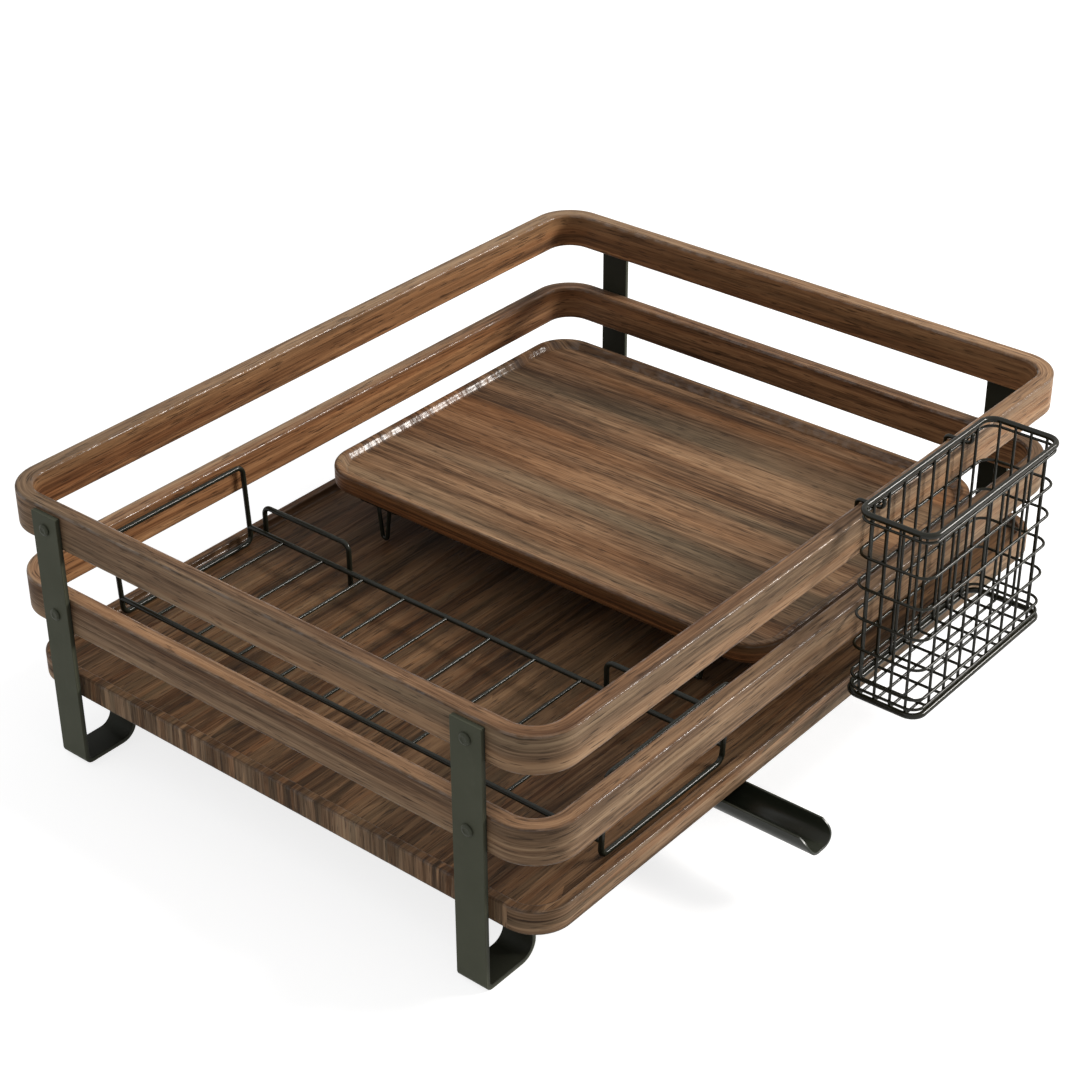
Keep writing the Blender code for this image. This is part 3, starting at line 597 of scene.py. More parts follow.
def walnut(name, tones, band, streak, contrast, grey, orange, coat, strips=0.0, shade_tint=INWARD_SHADE_TINT):
    """Oiled walnut. The grain attribute is the place across the grain and, in a plane, along it, in metres.

    tones are five colours from the darkest to the lightest; band and streak are counts across a metre;
    strips is how far the tones of glued strips differ; grey and orange are how strong such bands get; coat
    is how strong the gloss is on what the marks call an edge; the last argument is a painted shade, darker
    and warm like light bounced off the wood, on what the marks call shaded.
    """
    material, tree, shader = shader_nodes(name)
    grain = attribute(tree, "grain")
    marks = add(tree, "ShaderNodeSeparateXYZ", {0: attribute(tree, "marks")}).outputs
    edge, shade_share = marks[0], marks[1]
    bent = bent_grain(tree, grain)
    wide = spread_out(tree, waves(tree, bent, (band, BAND_ALONG)), *BAND_RANGE)
    streaks = waves(tree, bent, (streak, STREAK_ALONG), detail=3, roughness=0.65)
    narrow = spread_out(tree, streaks, *STREAK_RANGE)
    fine = spread_out(tree, waves(tree, bent, FIBRE_WAVES, roughness=0.6), *FIBRE_RANGE)
    pores = spread_out(tree, waves(tree, bent, PORE_WAVES, detail=1), *PORE_RANGE)
    grit = waves(tree, bent, GRIT_WAVES, roughness=0.7)
    mixture = layered(tree, ((wide, BAND_SHARE), (narrow, STREAK_SHARE), (fine, FIBRE_SHARE)))
    orange_share = band_share(tree, bent, band * ORANGE_BAND_SHARE, ORANGE_RANGE, orange)
    grey_share = band_share(tree, bent, band * GREY_BAND_SHARE, GREY_RANGE, grey)
    if strips:
        values = strip_values(tree, bent)
        off_middle = maths(tree, "SUBTRACT", values[0], MIDDLE_TONE)
        mixture = maths(tree, "MULTIPLY_ADD", off_middle, strips, mixture)
        orange_share = with_picked_strips(tree, orange_share, values[1], STRIP_ORANGE)
        grey_share = with_picked_strips(tree, grey_share, values[2], STRIP_GREY)
    off_middle = maths(tree, "SUBTRACT", mixture, MIDDLE_TONE)
    mixture = maths(tree, "MULTIPLY_ADD", off_middle, contrast, MIDDLE_TONE, clamp=True)
    tints = ((orange_share, ORANGE_TONES), (grey_share, GREY_TONES))
    colour = wood_colour(tree, mixture, tones, tints, pores)
    # Painted shade: the marked faces are darkened and warmed, like light bounced off the wood
    tint = mixed(tree, shade_share, WHITE, (*shade_tint, 1))
    colour = mixed(tree, 1.0, colour, tint, blend="MULTIPLY")
    colour = mixed(tree, maths(tree, "MULTIPLY", edge, EDGE_DARKNESS), colour, EDGE_TONE)
    height = layered(tree, ((fine, FIBRE_RISE), (narrow, STREAK_RISE), (grit, GRIT_RISE), (pores, PORE_RISE)))
    bump = add(tree, "ShaderNodeBump", {"Strength": WOOD_BUMP, "Distance": WOOD_RELIEF, "Height": height})
    patches = waves(tree, grain, PATCH_WAVES, detail=3, roughness=0.7)
    oiled = spread_out(tree, patches, *PATCH_RANGE, DULL_COAT_SHARE * coat, coat)
    roughness = spread_out(tree, mixture, *WOOD_GLOSS_TONES, *WOOD_ROUGHNESS)
    tree.links.new(colour, shader.inputs["Base Color"])
    tree.links.new(roughness, shader.inputs["Roughness"])
    tree.links.new(bump.outputs[0], shader.inputs["Normal"])
    tree.links.new(maths(tree, "MULTIPLY", edge, oiled), shader.inputs["Coat Weight"])
    shader.inputs["Coat Roughness"].default_value = WOOD_COAT_ROUGHNESS
    shader.inputs["Coat IOR"].default_value = WOOD_COAT_IOR
    shader.inputs["Specular IOR Level"].default_value = WOOD_SPECULAR
    return material


def coated_steel(
    name, colour, worn, roughness, coat=0.0, coat_roughness=0.2, inside_shade=0.5,
    grit=STRAP_GRIT, relief=STEEL_RELIEF, specular=0.12,
):
    """Painted steel or black plastic: a mottled colour, fine grit, rubbed places, and painted shade on the
    faces that the marks call inner.
    """
    material, tree, shader = shader_nodes(name)
    marks = add(tree, "ShaderNodeSeparateXYZ", {0: attribute(tree, "marks")}).outputs
    place = add(tree, "ShaderNodeTexCoord").outputs["Object"]
    cloud = noise(tree, scaled(tree, place, CLOUD_WAVES), detail=4, roughness=0.6)
    speck = noise(tree, scaled(tree, place, (grit, grit, grit)), detail=2, roughness=0.6)
    rub = noise(tree, scaled(tree, place, RUB_WAVES), detail=5, roughness=0.7)
    dark = tuple(DARK_SHARE * value for value in colour[:3]) + (1,)
    base = mixed(tree, spread_out(tree, cloud, *CLOUD_RANGE, 0, STEEL_MOTTLE), colour, dark)
    base = mixed(tree, spread_out(tree, rub, *RUB_RANGE, 0, RUB_SHARE), base, worn)
    # Painted shade: the faces that the marks call inner go towards a near-black tone
    base = mixed(tree, maths(tree, "MULTIPLY", marks[1], inside_shade), base, INSIDE_SHADE_TONE)
    rough = maths(tree, "MULTIPLY_ADD", cloud, CLOUD_ROUGHNESS, roughness - CLOUD_ROUGHNESS / 2)
    rough = maths(tree, "MULTIPLY_ADD", speck, GRIT_ROUGHNESS, rough)
    bump = add(tree, "ShaderNodeBump", {"Strength": STEEL_BUMP, "Distance": relief, "Height": speck})
    tree.links.new(base, shader.inputs["Base Color"])
    tree.links.new(rough, shader.inputs["Roughness"])
    tree.links.new(bump.outputs[0], shader.inputs["Normal"])
    shader.inputs["Specular IOR Level"].default_value = specular
    shader.inputs["Coat Weight"].default_value = coat
    shader.inputs["Coat Roughness"].default_value = coat_roughness
    shader.inputs["Coat IOR"].default_value = STEEL_COAT_IOR
    return material


def brushed_steel(name):
    """The drain's bare steel, with turning marks round its axis."""
    material, tree, shader = shader_nodes(name)
    place = add(tree, "ShaderNodeTexCoord").outputs["Object"]
    marks = noise(tree, scaled(tree, place, TURNING_WAVES), detail=3, roughness=0.7)
    stain = noise(tree, scaled(tree, place, STAIN_WAVES), detail=3)
    colour = mixed(tree, spread_out(tree, stain, *STAIN_RANGE), BRIGHT_STEEL, STAINED_STEEL)
    bump = add(tree, "ShaderNodeBump", {"Strength": DRAIN_BUMP, "Distance": DRAIN_RELIEF, "Height": marks})
    roughness = spread_out(tree, marks, *TURNING_RANGE, *DRAIN_ROUGHNESS)
    tree.links.new(colour, shader.inputs["Base Color"])
    tree.links.new(roughness, shader.inputs["Roughness"])
    tree.links.new(bump.outputs[0], shader.inputs["Normal"])
    shader.inputs["Metallic"].default_value = 1.0
    return material


# Wood


def rail_section(height):
    """The rail's section from its outer face inwards, with round edges, and the marks of its points."""
    outer, inner = RAIL_OUTER_EDGE, RAIL_INNER_EDGE
    section = [
        *arc((outer, height - outer), outer, 2, 1),
        *arc((RAIL_THICKNESS - inner, height - inner), inner, 1, 0),
        *arc((RAIL_THICKNESS - outer, outer), outer, 0, -1),
        *arc((outer, outer), outer, -1, -2),
    ]
    inner_part = RAIL_THICKNESS - 2 * inner

    # The second mark is painted shade, growing towards the rail's inner face
    def marks(point):
        return float(point in section), max(0, point[0] - inner_part) / (2 * inner), 0

    return eased(section, closed=True), marks


def build_rails(material):
    for seed, node in enumerate(("top_rail", "middle_rail")):
        low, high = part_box(node)
        bm = bmesh.new()
        path = rounded_outline(low, high, RAIL_CORNER)
        section, marks = rail_section(high.z - low.z)
        swept(bm, path, section, Z_AXIS, path_closed=True, seed=seed + 1, marks=marks)
        piece(f"{node}_wood", mesh_from(node, bm), material, "frame", [node])


def board(low, high, corner, wall, rim, along_x, wrapped, wall_shaded, wall_layers, seed):
    """A dished board. Its profile is its outer wall, from the underside up, and then its rim and cove.

    The grain runs along X or Y on top. On the wall it runs round the board, wall_layers times as dense, but
    where wrapped(point) says so the pattern on top runs down over the edge.
    """
    bm = bmesh.new()
    path = rounded_outline(low, high, corner)
    wall_points, rim_points = eased(wall), eased(rim)
    wall_count = len(wall_points) - 1

    # The second mark is painted shade: on the wall, or on all but the wall, as the caller asks
    def marks(point):
        shade_share = wall_shaded if point in wall_points else 1 - wall_shaded
        return float(point in wall or point in rim), shade_share, 0

    profile = wall_points + rim_points
    quads, caps = swept(
        bm, path, profile, Z_AXIS, path_closed=True, section_closed=False, seed=seed, marks=marks
    )
    grain = loop_layer(bm, "grain")
    marked = loop_layer(bm, "marks")
    top_z = high.z
    for row in quads:
        for j, face in enumerate(row):
            middle = face.calc_center_median()
            in_wall = j < wall_count
            for loop in face.loops:
                x, y, z = loop.vert.co
                if in_wall and not wrapped(middle):
                    across, *place = loop[grain]
                    loop[grain] = (seed + (across - seed) * wall_layers, *place)
                    continue
                if in_wall:
                    y += math.copysign(top_z - z, y)
                loop[grain] = (y + seed, x, 0) if along_x else (x + seed, y, 0)
    # The caps are the underside and the dish floor; they get painted shade when the wall doesn't
    for face in caps:
        for loop in face.loops:
            x, y, _ = loop.vert.co
            loop[grain] = (y + seed, x, 0) if along_x else (x + seed, y, 0)
            loop[marked] = (0, 1 - wall_shaded, 0)
    return mesh_from("board", bm)


def build_tray(material):
    low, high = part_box("drip_tray")
    height = high.z - low.z
    edge, lip = TRAY_OUTER_EDGE, TRAY_INNER_EDGE
    wall = [*arc((edge, edge), edge, 3, 2), *arc((edge, height - edge), edge, 2, 1.5, 2)]
    rim = [
        *arc((edge, height - edge), edge, 1.5, 1, 2)[1:],
        *arc((TRAY_RIM - lip, height - lip), lip, 1, 0),
        *arc((TRAY_RIM + TRAY_COVE, TRAY_FLOOR + TRAY_COVE), TRAY_COVE, 2, 3, BEND_STEPS),
    ]
    leg_low, leg_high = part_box("leg_front_left")
    reach = RACK_X - (leg_low.x + leg_high.x) / 2

    def wrapped(point):
        return abs(point.x - RACK_X) < reach

    mesh = board(
        low, high, TRAY_CORNER, wall, rim,
        along_x=False, wrapped=wrapped, wall_shaded=0, wall_layers=TRAY_LAYERS, seed=TRAY_SEED,
    )
    drain_low, drain_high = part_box("drain_bushing")
    centre = (drain_low + drain_high) / 2
    hole = bmesh.new()
    radius, bottom_z, top_z = TRAY_HOLE / 2, low.z - TRAY_RIM, high.z + TRAY_RIM
    profile = [(0, bottom_z), (radius, bottom_z), (radius, top_z), (0, top_z)]
    turned(hole, profile, at=Matrix.Translation((centre.x, centre.y, 0)))
    mesh = cut_by(mesh, mesh_from("hole", hole))
    piece("tray_wood", mesh, material, "frame", ["drip_tray"])


def build_shelf_board(material):
    low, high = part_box("shelf_board")
    height = high.z - low.z
    edge = SHELF_EDGE
    floor = height - SHELF_RECESS
    wall = [*arc((edge, edge), edge, 3, 2), *arc((edge, height - edge), edge, 2, 1.5, 2)]
    rim = [*arc((edge, height - edge), edge, 1.5, 1, 2)[1:]]
    for step in range(1, BEND_STEPS + 1):
        share = step / BEND_STEPS
        across = SHELF_RIM + SHELF_COVE * share
        rim.append((across, floor + SHELF_RECESS * (1 + math.cos(math.pi * share)) / 2))
    mesh = board(
        low, high, SHELF_CORNER, wall, rim,
        along_x=True, wrapped=lambda point: False, wall_shaded=1, wall_layers=SHELF_LAYERS, seed=SHELF_SEED,
    )
    piece("shelf_wood", mesh, material, "shelf", ["shelf_board"])


# Steel strap legs and screws


def strap_points(low, high, side):
    """The corners of a leg's strap: down past the rails, in along the foot, up, and in along the tab."""
    x = (low.x + high.x) / 2
    half = STRAP_THICKNESS / 2
    outer_y = low.y if side > 0 else high.y
    tab_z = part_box("drip_tray")[0].z - STRAP_GAP - half
    inner_reach = FOOT_REACH + 2 * STRAP_THICKNESS + STRAP_GAP
    strap_y = outer_y + side * half
    riser_y = outer_y + side * (inner_reach - half)
    end_y = outer_y + side * (inner_reach + TAB_LENGTH)
    bends = ((strap_y, high.z), (strap_y, half), (riser_y, half), (riser_y, tab_z), (end_y, tab_z))
    return [(x, y, z) for y, z in bends]


def build_legs(material):
    half = STRAP_THICKNESS / 2
    for end, side in (("front", 1), ("back", -1)):
        for hand in ("left", "right"):
            node = f"leg_{end}_{hand}"
            low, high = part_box(node)
            width = high.x - low.x
            section = [(-half, -width / 2), (half, -width / 2), (half, width / 2), (-half, width / 2)]
            path = filleted(strap_points(low, high, side), (FOOT_FRONT_BEND, FOOT_BACK_BEND, TAB_BEND))
            bm = bmesh.new()
            # The strap's inner side is marked for painted shade
            swept(bm, path, section, X_AXIS, marks=lambda point: (0, float(point[0] * side > 0), 0))
            mesh = mesh_from(node, bm)
            piece(f"{node}_strap", mesh, material, "frame", [node], bevel=STRAP_EDGE)


def screw_head(node, outward, material, body):
    """A low domed head with a shallow dimple, and the shank behind it. outward is the way the head faces."""
    low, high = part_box(node)
    centre = (low + high) / 2
    along = max(range(3), key=lambda i: abs(outward[i]))
    crown = high[along] if outward[along] > 0 else low[along]
    tail = low[along] if outward[along] > 0 else high[along]
    across = (along + 1) % 3
    radius = (high[across] - low[across]) / 2
    length = abs(crown - tail)
    place = centre.copy()
    place[along] = crown
    head = radius * HEAD_SHARE
    shank = radius * SHANK_SHARE
    brim = head * BRIM_SHARE
    dimple = radius * DIMPLE_SHARE
    profile = [(0, -length), (shank, -length), (shank, -head), (radius, -head), (radius, -brim)]
    for step in range(1, CROWN_STEPS + 1):
        angle = math.pi / 2 * step / CROWN_STEPS
        out = radius - (radius - dimple) * (1 - math.cos(angle))
        profile.append((out, -brim * (1 - math.sin(angle))))
    profile += [(dimple * DIMPLE_FLOOR_SHARE, -DIMPLE_DEPTH), (0, -DIMPLE_DEPTH)]
    bm = bmesh.new()
    turn = Z_AXIS.rotation_difference(Vector(outward)).to_matrix().to_4x4()
    turned(bm, profile, at=Matrix.Translation(place) @ turn)
    piece(f"{node}_head", mesh_from(node, bm), material, body, [node], bevel=SCREW_EDGE)


def build_screws(material):
    for end, side in (("front", -1), ("back", 1)):
        for hand in ("left", "right"):
            for level in ("middle", "top"):
                screw_head(f"rail_screw_{end}_{hand}_{level}", (0, side, 0), material, "frame")
            screw_head(f"tray_screw_{end}_{hand}", (0, 0, -1), material, "frame")
            for letter in "ab":
                screw_head(f"shelf_screw_{end}_{hand}_{letter}", (0, 0, -1), material, "shelf")


# Drain and spout


def drain_axis():
    low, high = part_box("drain_bushing")
    return (low.x + high.x) / 2, (low.y + high.y) / 2


def turned_piece(name, profile, material, node, edge):
    """A piece of the drain, turned about its axis."""
    x, y = drain_axis()
    bm = bmesh.new()
    turned(bm, profile, closed=True, at=Matrix.Translation((x, y, 0)))
    piece(name, mesh_from(node, bm), material, "frame", [node], bevel=edge)


def build_drain(material):
    low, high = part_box("drain_bushing")
    flange = (high.x - low.x) / 2
    seat = high.z - 2 * DRAIN_LIP
    bore, tube, lip = DRAIN_BORE / 2, DRAIN_TUBE / 2, DRAIN_LIP
    profile = [
        (tube, low.z), (tube, seat), *arc((flange - lip, seat + lip), lip, -1, 1, BEND_STEPS),
        *arc((bore + 2 * lip, high.z - 2 * lip), 2 * lip, 1, 2, BEND_STEPS), (bore, low.z),
    ]
    turned_piece("drain_flange", profile, material, "drain_bushing", DRAIN_EDGE)
    low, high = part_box("spout_retainer")
    rim = (high.x - low.x) / 2
    inner = tube + STRAP_GAP
    profile = [(rim, high.z), (rim, low.z), (inner, low.z), (inner, high.z)]
    turned_piece("retainer_ring", profile, material, "spout_retainer", RETAINER_EDGE)


def spout_sheet():
    """The middle surface of the spout's bent sheet, with its closed heel and its round nose."""
    low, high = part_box("spout")
    half = SPOUT_WALL / 2
    y_mid = (low.y + high.y) / 2
    side = (high.y - low.y) / 2 - half
    floor, top = low.z + half, high.z - SPOUT_WALL - STRAP_GAP / 2
    bend = SPOUT_BEND - half
    nose_z = high.z - SPOUT_NOSE_DROP
    nose_x = high.x - SPOUT_NOSE_LENGTH
    bend_z = floor + bend
    angles = [math.pi / 2 * i / SPOUT_STEPS for i in range(SPOUT_STEPS, -1, -1)]
    cheek = [nose_z + SPOUT_NOSE_DROP * math.sin(angle) for angle in angles]
    cheek = [top] + [z for z in cheek if bend_z < z < top]
    arc_steps = [math.pi / 2 * i / SPOUT_STEPS for i in range(SPOUT_STEPS + 1)]
    round_part = [(side - bend + bend * math.cos(a), bend_z - bend * math.sin(a)) for a in arc_steps]
    right_half = [(side, z) for z in cheek] + round_part
    section = [(-y, z) for y, z in right_half] + list(reversed(right_half))
    bm = bmesh.new()
    rows = []
    for y, z in section:
        share = max(0, (z - nose_z) / SPOUT_NOSE_DROP)
        end = nose_x + SPOUT_NOSE_LENGTH * math.sqrt(1 - share**2)
        rows.append([bm.verts.new((x, y_mid + y, z)) for x in (low.x + half, end)])
    for (near_a, far_a), (near_b, far_b) in zip(rows, rows[1:]):
        bm.faces.new((near_a, near_b, far_b, far_a))
    bm.faces.new([row[0] for row in rows])
    return mesh_from("spout", bm)


def spout_plate():
    """The spout's flat plate: a rectangle as wide as the channel, with a round hole for the drain's tube."""
    low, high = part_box("spout")
    x, y = drain_axis()
    radius = DRAIN_TUBE / 2 + STRAP_GAP
    half_y = (high.y - low.y) / 2
    inner, outer = [], []
    for i in range(TURNED_STEPS):
        angle = 2 * math.pi * i / TURNED_STEPS
        cx, cy = math.cos(angle), math.sin(angle)
        reach_x = SPOUT_PLATE_REACH if cx > 0 else x - low.x
        stretch = min(reach_x / max(abs(cx), NEARLY_ZERO), half_y / max(abs(cy), NEARLY_ZERO))
        inner.append((x + radius * cx, y + radius * cy))
        outer.append((x + stretch * cx, y + stretch * cy))
    bm = bmesh.new()
    rings = []
    for z in (high.z, high.z - SPOUT_WALL):
        for ring in (inner, outer):
            rings.append([bm.verts.new((px, py, z)) for px, py in ring])
    for a, b in ((0, 1), (1, 3), (3, 2), (2, 0)):
        for i in range(TURNED_STEPS):
            k = (i + 1) % TURNED_STEPS
            bm.faces.new((rings[a][i], rings[a][k], rings[b][k], rings[b][i]))
    return mesh_from("plate", bm)


def build_spout(material):
    obj = piece("spout_channel", spout_sheet(), material, "spout", ["spout"])
    obj.modifiers.clear()
    sheet = obj.modifiers.new("sheet", "SOLIDIFY")
    sheet.thickness = SPOUT_WALL
    sheet.offset = 0
    sheet.use_even_offset = True
    rounding = obj.modifiers.new("edges", "BEVEL")
    rounding.width = SPOUT_EDGE
    rounding.segments = BEVEL_STEPS
    rounding.limit_method = "ANGLE"
    rounding.angle_limit = SPOUT_EDGE_ANGLE
    normals = obj.modifiers.new("normals", "WEIGHTED_NORMAL")
    normals.keep_sharp = False
    plate = spout_plate()
    piece("spout_plate", plate, material, "spout", ["spout"], bevel=SPOUT_PLATE_EDGE)


# Wires


def hairpin_path(x, y, top_z, foot_z):
    """A hairpin's wire: its two straight sides meet the round bend at the foot without a kink."""
    half = HAIRPIN_SPREAD / 2
    centre_z = foot_z + HAIRPIN_WIRE / 2 + HAIRPIN_BEND
    rise = top_z - centre_z
    lean = math.atan2(half, rise) - math.asin(HAIRPIN_BEND / math.hypot(half, rise))
    apex_z = centre_z - HAIRPIN_BEND / math.sin(lean)
    return filleted(((x - half, y, top_z), (x, y, apex_z), (x + half, y, top_z)), (HAIRPIN_BEND,))


def hairpin_plate(low, high):
    """The plate that a hairpin hangs from, with round corners."""
    bottom_z = high.z - HAIRPIN_PLATE
    radius = (high.y - low.y) / 2 * HAIRPIN_PLATE_CORNER_SHARE
    corners = ((low.x, low.y), (high.x, low.y), (high.x, high.y), (low.x, high.y))
    outline = filleted([(x, y, bottom_z) for x, y in corners], [radius] * 4, closed=True)
    bm = bmesh.new()
    face = bm.faces.new([bm.verts.new(point) for point in outline])
    raised = bmesh.ops.extrude_face_region(bm, geom=[face])
    verts = [item for item in raised["geom"] if isinstance(item, bmesh.types.BMVert)]
    bmesh.ops.translate(bm, vec=(0, 0, HAIRPIN_PLATE), verts=verts)
    return mesh_from("plate", bm)


def build_hairpins(material):
    for end in ("front", "back"):
        for hand in ("left", "right"):
            node = f"shelf_leg_{end}_{hand}"
            low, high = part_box(node)
            x, y = (low.x + high.x) / 2, (low.y + high.y) / 2
            path = hairpin_path(x, y, high.z - HAIRPIN_PLATE / 2, low.z)
            wire(f"{node}_pin", path, HAIRPIN_WIRE, Y_AXIS, material, "shelf", [node])
            plate = hairpin_plate(low, high)
            piece(f"{node}_plate", plate, material, "shelf", [node], bevel=HAIRPIN_PLATE_EDGE)


def insert_wire(node, part, path, diameter, normal, material, closed=False):
    name = f"{node}_{part}"
    wire(name, path, diameter, normal, material, "insert", [node], closed=closed)


def insert_hoop(node, side, material):
    """An end hoop, which leans outwards from its foot."""
    half = LONG_WIRE / 2
    low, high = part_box(node)
    near_y, far_y = low.y + half, high.y - half
    low_z, high_z = low.z + half, high.z - half
    foot_x, top_x = (high.x - half, low.x + half) if side < 0 else (low.x + half, high.x - half)
    points = [
        (foot_x, near_y, low_z), (foot_x, far_y, low_z),
        (top_x, far_y, high_z), (top_x, near_y, high_z),
    ]
    normal = Vector((high_z - low_z, 0, foot_x - top_x)).normalized()
    path = filleted(points, [HOOP_BEND] * 4, closed=True)
    insert_wire(node, "loop", path, LONG_WIRE, normal, material, closed=True)


def insert_stop(node, side, material):
    """A plate stop, whose outer foot goes down to the level of the back wire's underside."""
    half = LONG_WIRE / 2
    low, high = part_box(node)
    y, top_z = (low.y + high.y) / 2, high.z - half
    rest_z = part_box("insert_back_wire")[0].z
    outer_x, inner_x = (low.x + half, high.x - half) if side < 0 else (high.x - half, low.x + half)
    points = [(outer_x, y, rest_z), (outer_x, y, top_z), (inner_x, y, top_z), (inner_x, y, low.z)]
    insert_wire(node, "arch", filleted(points, [STOP_BEND] * 2), LONG_WIRE, Y_AXIS, material)


def build_insert(material):
    reach = LONG_WIRE / 2 + STRAP_GAP
    for node in ("insert_front_wire", "insert_back_wire"):
        low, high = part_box(node)
        y, z = (low.y + high.y) / 2, (low.z + high.z) / 2
        path = [Vector((low.x - reach, y, z)), Vector((high.x + reach, y, z))]
        insert_wire(node, "rod", path, LONG_WIRE, Z_AXIS, material)
    for i in range(CROSS_WIRE_COUNT):
        node = f"insert_cross_wire_{i + 1}"
        low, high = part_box(node)
        x, z = (low.x + high.x) / 2, (low.z + high.z) / 2
        path = [Vector((x, low.y - reach, z)), Vector((x, high.y + reach, z))]
        insert_wire(node, "rod", path, CROSS_WIRE, Z_AXIS, material)
    for hand, side in (("left", -1), ("right", 1)):
        insert_hoop(f"insert_hoop_{hand}", side, material)
        insert_stop(f"insert_stop_{hand}", side, material)


def spread(count, half):
    return [(2 * i / (count - 1) - 1) * half for i in range(count)]


def loop_path(centre, half_x, half_y, z, corner):
    corners = ((half_x, half_y), (-half_x, half_y), (-half_x, -half_y), (half_x, -half_y))
    points = [(centre.x + x, centre.y + y, z) for x, y in corners]
    return filleted(points, [corner] * 4, closed=True)


def basket_wire(name, path, diameter, normal, material, nodes, closed=False):
    wire(name, path, diameter, normal, material, "basket", nodes, closed=closed)


def basket_rings(centre, half_x, half_y, rim_z, base_z, walls, material):
    """The thick rings of the rim and the base, and the thin ones round the walls."""
    for node, z in (("basket_rim", rim_z), ("basket_base", base_z)):
        path = loop_path(centre, half_x, half_y, z, BASKET_CORNER)
        basket_wire(f"{node}_ring", path, RIM_WIRE, Z_AXIS, material, [node], closed=True)
    ring_low, ring_high = base_z + LAST_RING_RISE, rim_z - FIRST_RING_DROP
    middle = [(ring_low + ring_high) / 2 + up for up in spread(RING_COUNT, (ring_high - ring_low) / 2)]
    for i, z in enumerate([base_z + END_RING_OFFSET, *middle, rim_z - END_RING_OFFSET]):
        path = loop_path(centre, half_x, half_y, z, BASKET_CORNER)
        basket_wire(f"basket_ring_{i + 1}", path, BASKET_WIRE, Z_AXIS, material, walls, closed=True)


def basket_uprights(centre, half_x, half_y, rim_z, base_z, walls, material):
    """The wires that run down a wall, over the base and up the facing wall, in both directions."""
    inset = BASKET_WIRE - BASKET_WELD
    cross_z = base_z + (BASKET_WIRE - BASKET_WELD) / 2
    long_z = cross_z - inset
    reach = half_x - inset
    for i, y in enumerate(spread(SIDE_UPRIGHT_COUNT, half_y - SIDE_UPRIGHT_MARGIN)):
        points = [(-reach, rim_z), (-reach, cross_z), (reach, cross_z), (reach, rim_z)]
        path = filleted([(centre.x + x, centre.y + y, z) for x, z in points], [BASKET_BEND] * 2)
        basket_wire(f"basket_cross_wire_{i + 1}", path, BASKET_WIRE, Y_AXIS, material, walls)
    reach = half_y - inset
    for i, x in enumerate(spread(END_UPRIGHT_COUNT, half_x - BASKET_CORNER)):
        points = [(-reach, rim_z), (-reach, long_z), (reach, long_z), (reach, rim_z)]
        path = filleted([(centre.x + x, centre.y + y, z) for y, z in points], [BASKET_BEND] * 2)
        basket_wire(f"basket_long_wire_{i + 1}", path, BASKET_WIRE, X_AXIS, material, walls)


def basket_hooks(material):
    half = HOOK_WIRE / 2
    over_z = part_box("top_rail")[1].z + STRAP_GAP + half
    for name in ("front", "back"):
        node = f"basket_hook_{name}"
        low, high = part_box(node)
        y = (low.y + high.y) / 2
        near_x, far_x = low.x + half, high.x - half
        points = [(near_x, y, low.z), (near_x, y, over_z), (far_x, y, over_z), (far_x, y, high.z)]
        basket_wire(f"{node}_wire", filleted(points, [HOOK_BEND] * 2), HOOK_WIRE, Y_AXIS, material, [node])


def build_basket(material):
    walls = [f"basket_wall_{name}" for name in ("inner", "outer", "front", "back")]
    low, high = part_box("basket_rim")
    centre = (low + high) / 2
    half_x, half_y = (high.x - low.x - RIM_WIRE) / 2, (high.y - low.y - RIM_WIRE) / 2
    base_low, base_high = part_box("basket_base")
    base_z = (base_low.z + base_high.z) / 2
    basket_rings(centre, half_x, half_y, centre.z, base_z, walls, material)
    basket_uprights(centre, half_x, half_y, centre.z, base_z, walls, material)
    basket_hooks(material)


# Floor, light and camera


def shows_backdrop(tree):
    """1 for rays that show the backdrop, straight or mirrored, and 0 for rays that only light."""
    rays = add(tree, "ShaderNodeLightPath").outputs
    mirrored = maths(tree, "MAXIMUM", rays["Is Glossy Ray"], rays["Is Transmission Ray"])
    return maths(tree, "MAXIMUM", rays["Is Camera Ray"], mirrored)


def build_floor():
    bm = bmesh.new()
    bmesh.ops.create_grid(bm, x_segments=1, y_segments=1, size=FLOOR_SIZE)
    mesh = mesh_from("floor", bm)
    floor = linked("floor", mesh)
    material, tree, shader = shader_nodes("floor")
    shader.inputs["Base Color"].default_value = FLOOR_COLOUR
    shader.inputs["Roughness"].default_value = FLOOR_ROUGHNESS
    shader.inputs["Specular IOR Level"].default_value = 0
    strength = maths(tree, "MULTIPLY", shows_backdrop(tree), FLOOR_GLOW)
    glow = add(tree, "ShaderNodeEmission", {"Color": WHITE, "Strength": strength})
    both = add(tree, "ShaderNodeAddShader", {0: shader.outputs[0], 1: glow.outputs[0]})
    tree.links.new(both.outputs[0], tree.nodes["Material Output"].inputs["Surface"])
    mesh.materials.append(material)


def build_world():
    world = bpy.data.worlds.new("studio")
    bpy.context.scene.world = world
    world.use_nodes = True
    tree = world.node_tree
    background = tree.nodes["Background"]
    background.inputs["Color"].default_value = WHITE
    strength = maths(tree, "MULTIPLY_ADD", shows_backdrop(tree), WORLD_GLOW, WORLD_LIGHT)
    tree.links.new(strength, background.inputs["Strength"])


def area_light(name, place, size, power, colour):
    data = bpy.data.lights.new(name, "AREA")
    data.shape = "RECTANGLE"
    data.size, data.size_y = size
    data.energy = power
    data.color = colour
    light = bpy.data.objects.new(name, data)
    light.location = place
    light.rotation_mode = "QUATERNION"
    light.rotation_quaternion = (Vector(LAMP_TARGET) - Vector(place)).to_track_quat("-Z", "Y")
    bpy.context.scene.collection.objects.link(light)


def build_lights():
    area_light("key", KEY_PLACE, KEY_SIZE, KEY_POWER, KEY_COLOUR)
    area_light("fill", FILL_PLACE, FILL_SIZE, FILL_POWER, FILL_COLOUR)


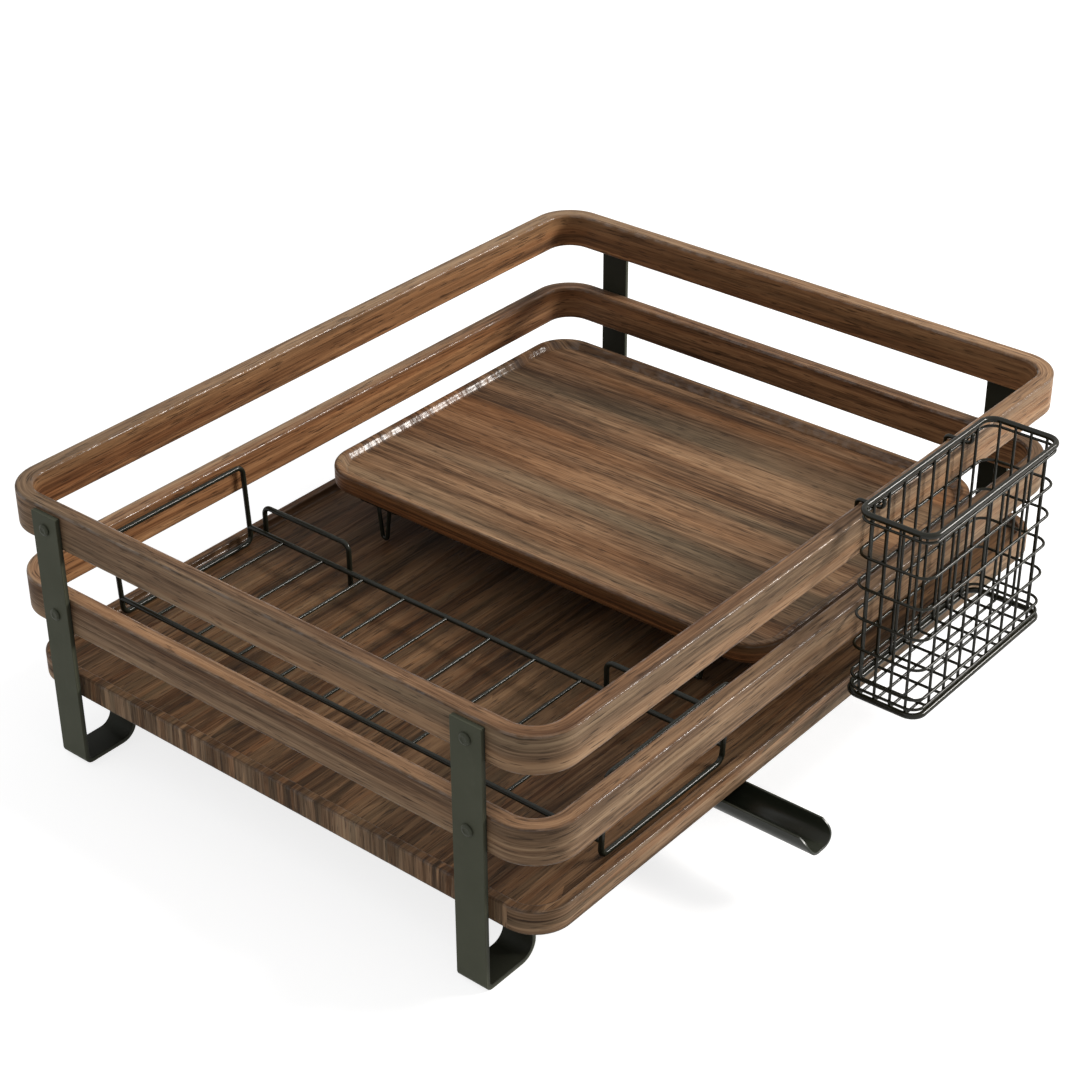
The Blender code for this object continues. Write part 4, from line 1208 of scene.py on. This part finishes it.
def build_camera():
    azimuth, elevation, roll = CAMERA_AZIMUTH, CAMERA_ELEVATION, CAMERA_ROLL
    level = math.cos(elevation)
    back = Vector((math.sin(azimuth) * level, -math.cos(azimuth) * level, math.sin(elevation)))
    right = Vector((math.cos(azimuth), math.sin(azimuth), 0))
    up = back.cross(right)
    turned_right = math.cos(roll) * right + math.sin(roll) * up
    turned_up = math.cos(roll) * up - math.sin(roll) * right
    data = bpy.data.cameras.new("camera")
    data.sensor_width = CAMERA_SENSOR
    data.lens = CAMERA_LENS
    camera = bpy.data.objects.new("camera", data)
    rotation = Matrix((turned_right, turned_up, back)).transposed()
    camera.matrix_world = Matrix.Translation(CAMERA_PLACE) @ rotation.to_4x4()
    bpy.context.scene.collection.objects.link(camera)
    bpy.context.scene.camera = camera


# The scene

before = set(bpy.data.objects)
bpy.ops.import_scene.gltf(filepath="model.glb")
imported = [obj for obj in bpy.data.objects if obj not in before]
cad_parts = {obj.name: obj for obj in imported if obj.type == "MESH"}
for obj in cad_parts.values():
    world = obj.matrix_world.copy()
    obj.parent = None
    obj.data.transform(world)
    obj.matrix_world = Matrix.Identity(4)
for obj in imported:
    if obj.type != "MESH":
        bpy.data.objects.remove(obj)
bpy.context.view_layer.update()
bpy.context.scene.view_settings.view_transform = "Standard"

rail_walnut = walnut(
    "rail_walnut", RAIL_TONES, band=75, streak=330, contrast=1.2, grey=0.42, orange=0.50, coat=0.65,
)
tray_walnut = walnut(
    "tray_walnut", TRAY_TONES, band=48, streak=300, contrast=1.1, grey=0.35, orange=0.20, coat=0.4,
    strips=0.30, shade_tint=TRAY_SHADE_TINT,
)
shelf_walnut = walnut(
    "shelf_walnut", SHELF_TONES, band=32, streak=250, contrast=1.35, grey=0.70, orange=0.60, coat=0.42,
    shade_tint=SHELF_SHADE_TINT,
)
leg_steel = coated_steel("leg_steel", srgb(83, 85, 70), srgb(95, 96, 82), 0.52, inside_shade=0.75)
screw_steel = coated_steel("screw_steel", srgb(78, 80, 67), srgb(94, 94, 84), 0.42)
insert_steel = coated_steel(
    "insert_steel", srgb(32, 33, 25), srgb(58, 59, 46), 0.5,
    coat=0.22, coat_roughness=0.16, grit=WIRE_GRIT, relief=WIRE_RELIEF, specular=0.05,
)
basket_steel = coated_steel(
    "basket_steel", srgb(26, 25, 12), srgb(52, 50, 31), 0.5,
    coat=0.32, coat_roughness=0.17, grit=WIRE_GRIT, relief=WIRE_RELIEF, specular=0.02,
)
spout_black = coated_steel(
    "spout_black", srgb(40, 43, 34), srgb(64, 67, 55), 0.42, coat=0.3, coat_roughness=0.26,
)
drain_steel = brushed_steel("drain_steel")

build_rails(rail_walnut)
build_tray(tray_walnut)
build_shelf_board(shelf_walnut)
build_legs(leg_steel)
build_screws(screw_steel)
build_drain(drain_steel)
build_spout(spout_black)
build_hairpins(insert_steel)
build_insert(insert_steel)
build_basket(basket_steel)
build_floor()
build_world()
build_lights()
build_camera()
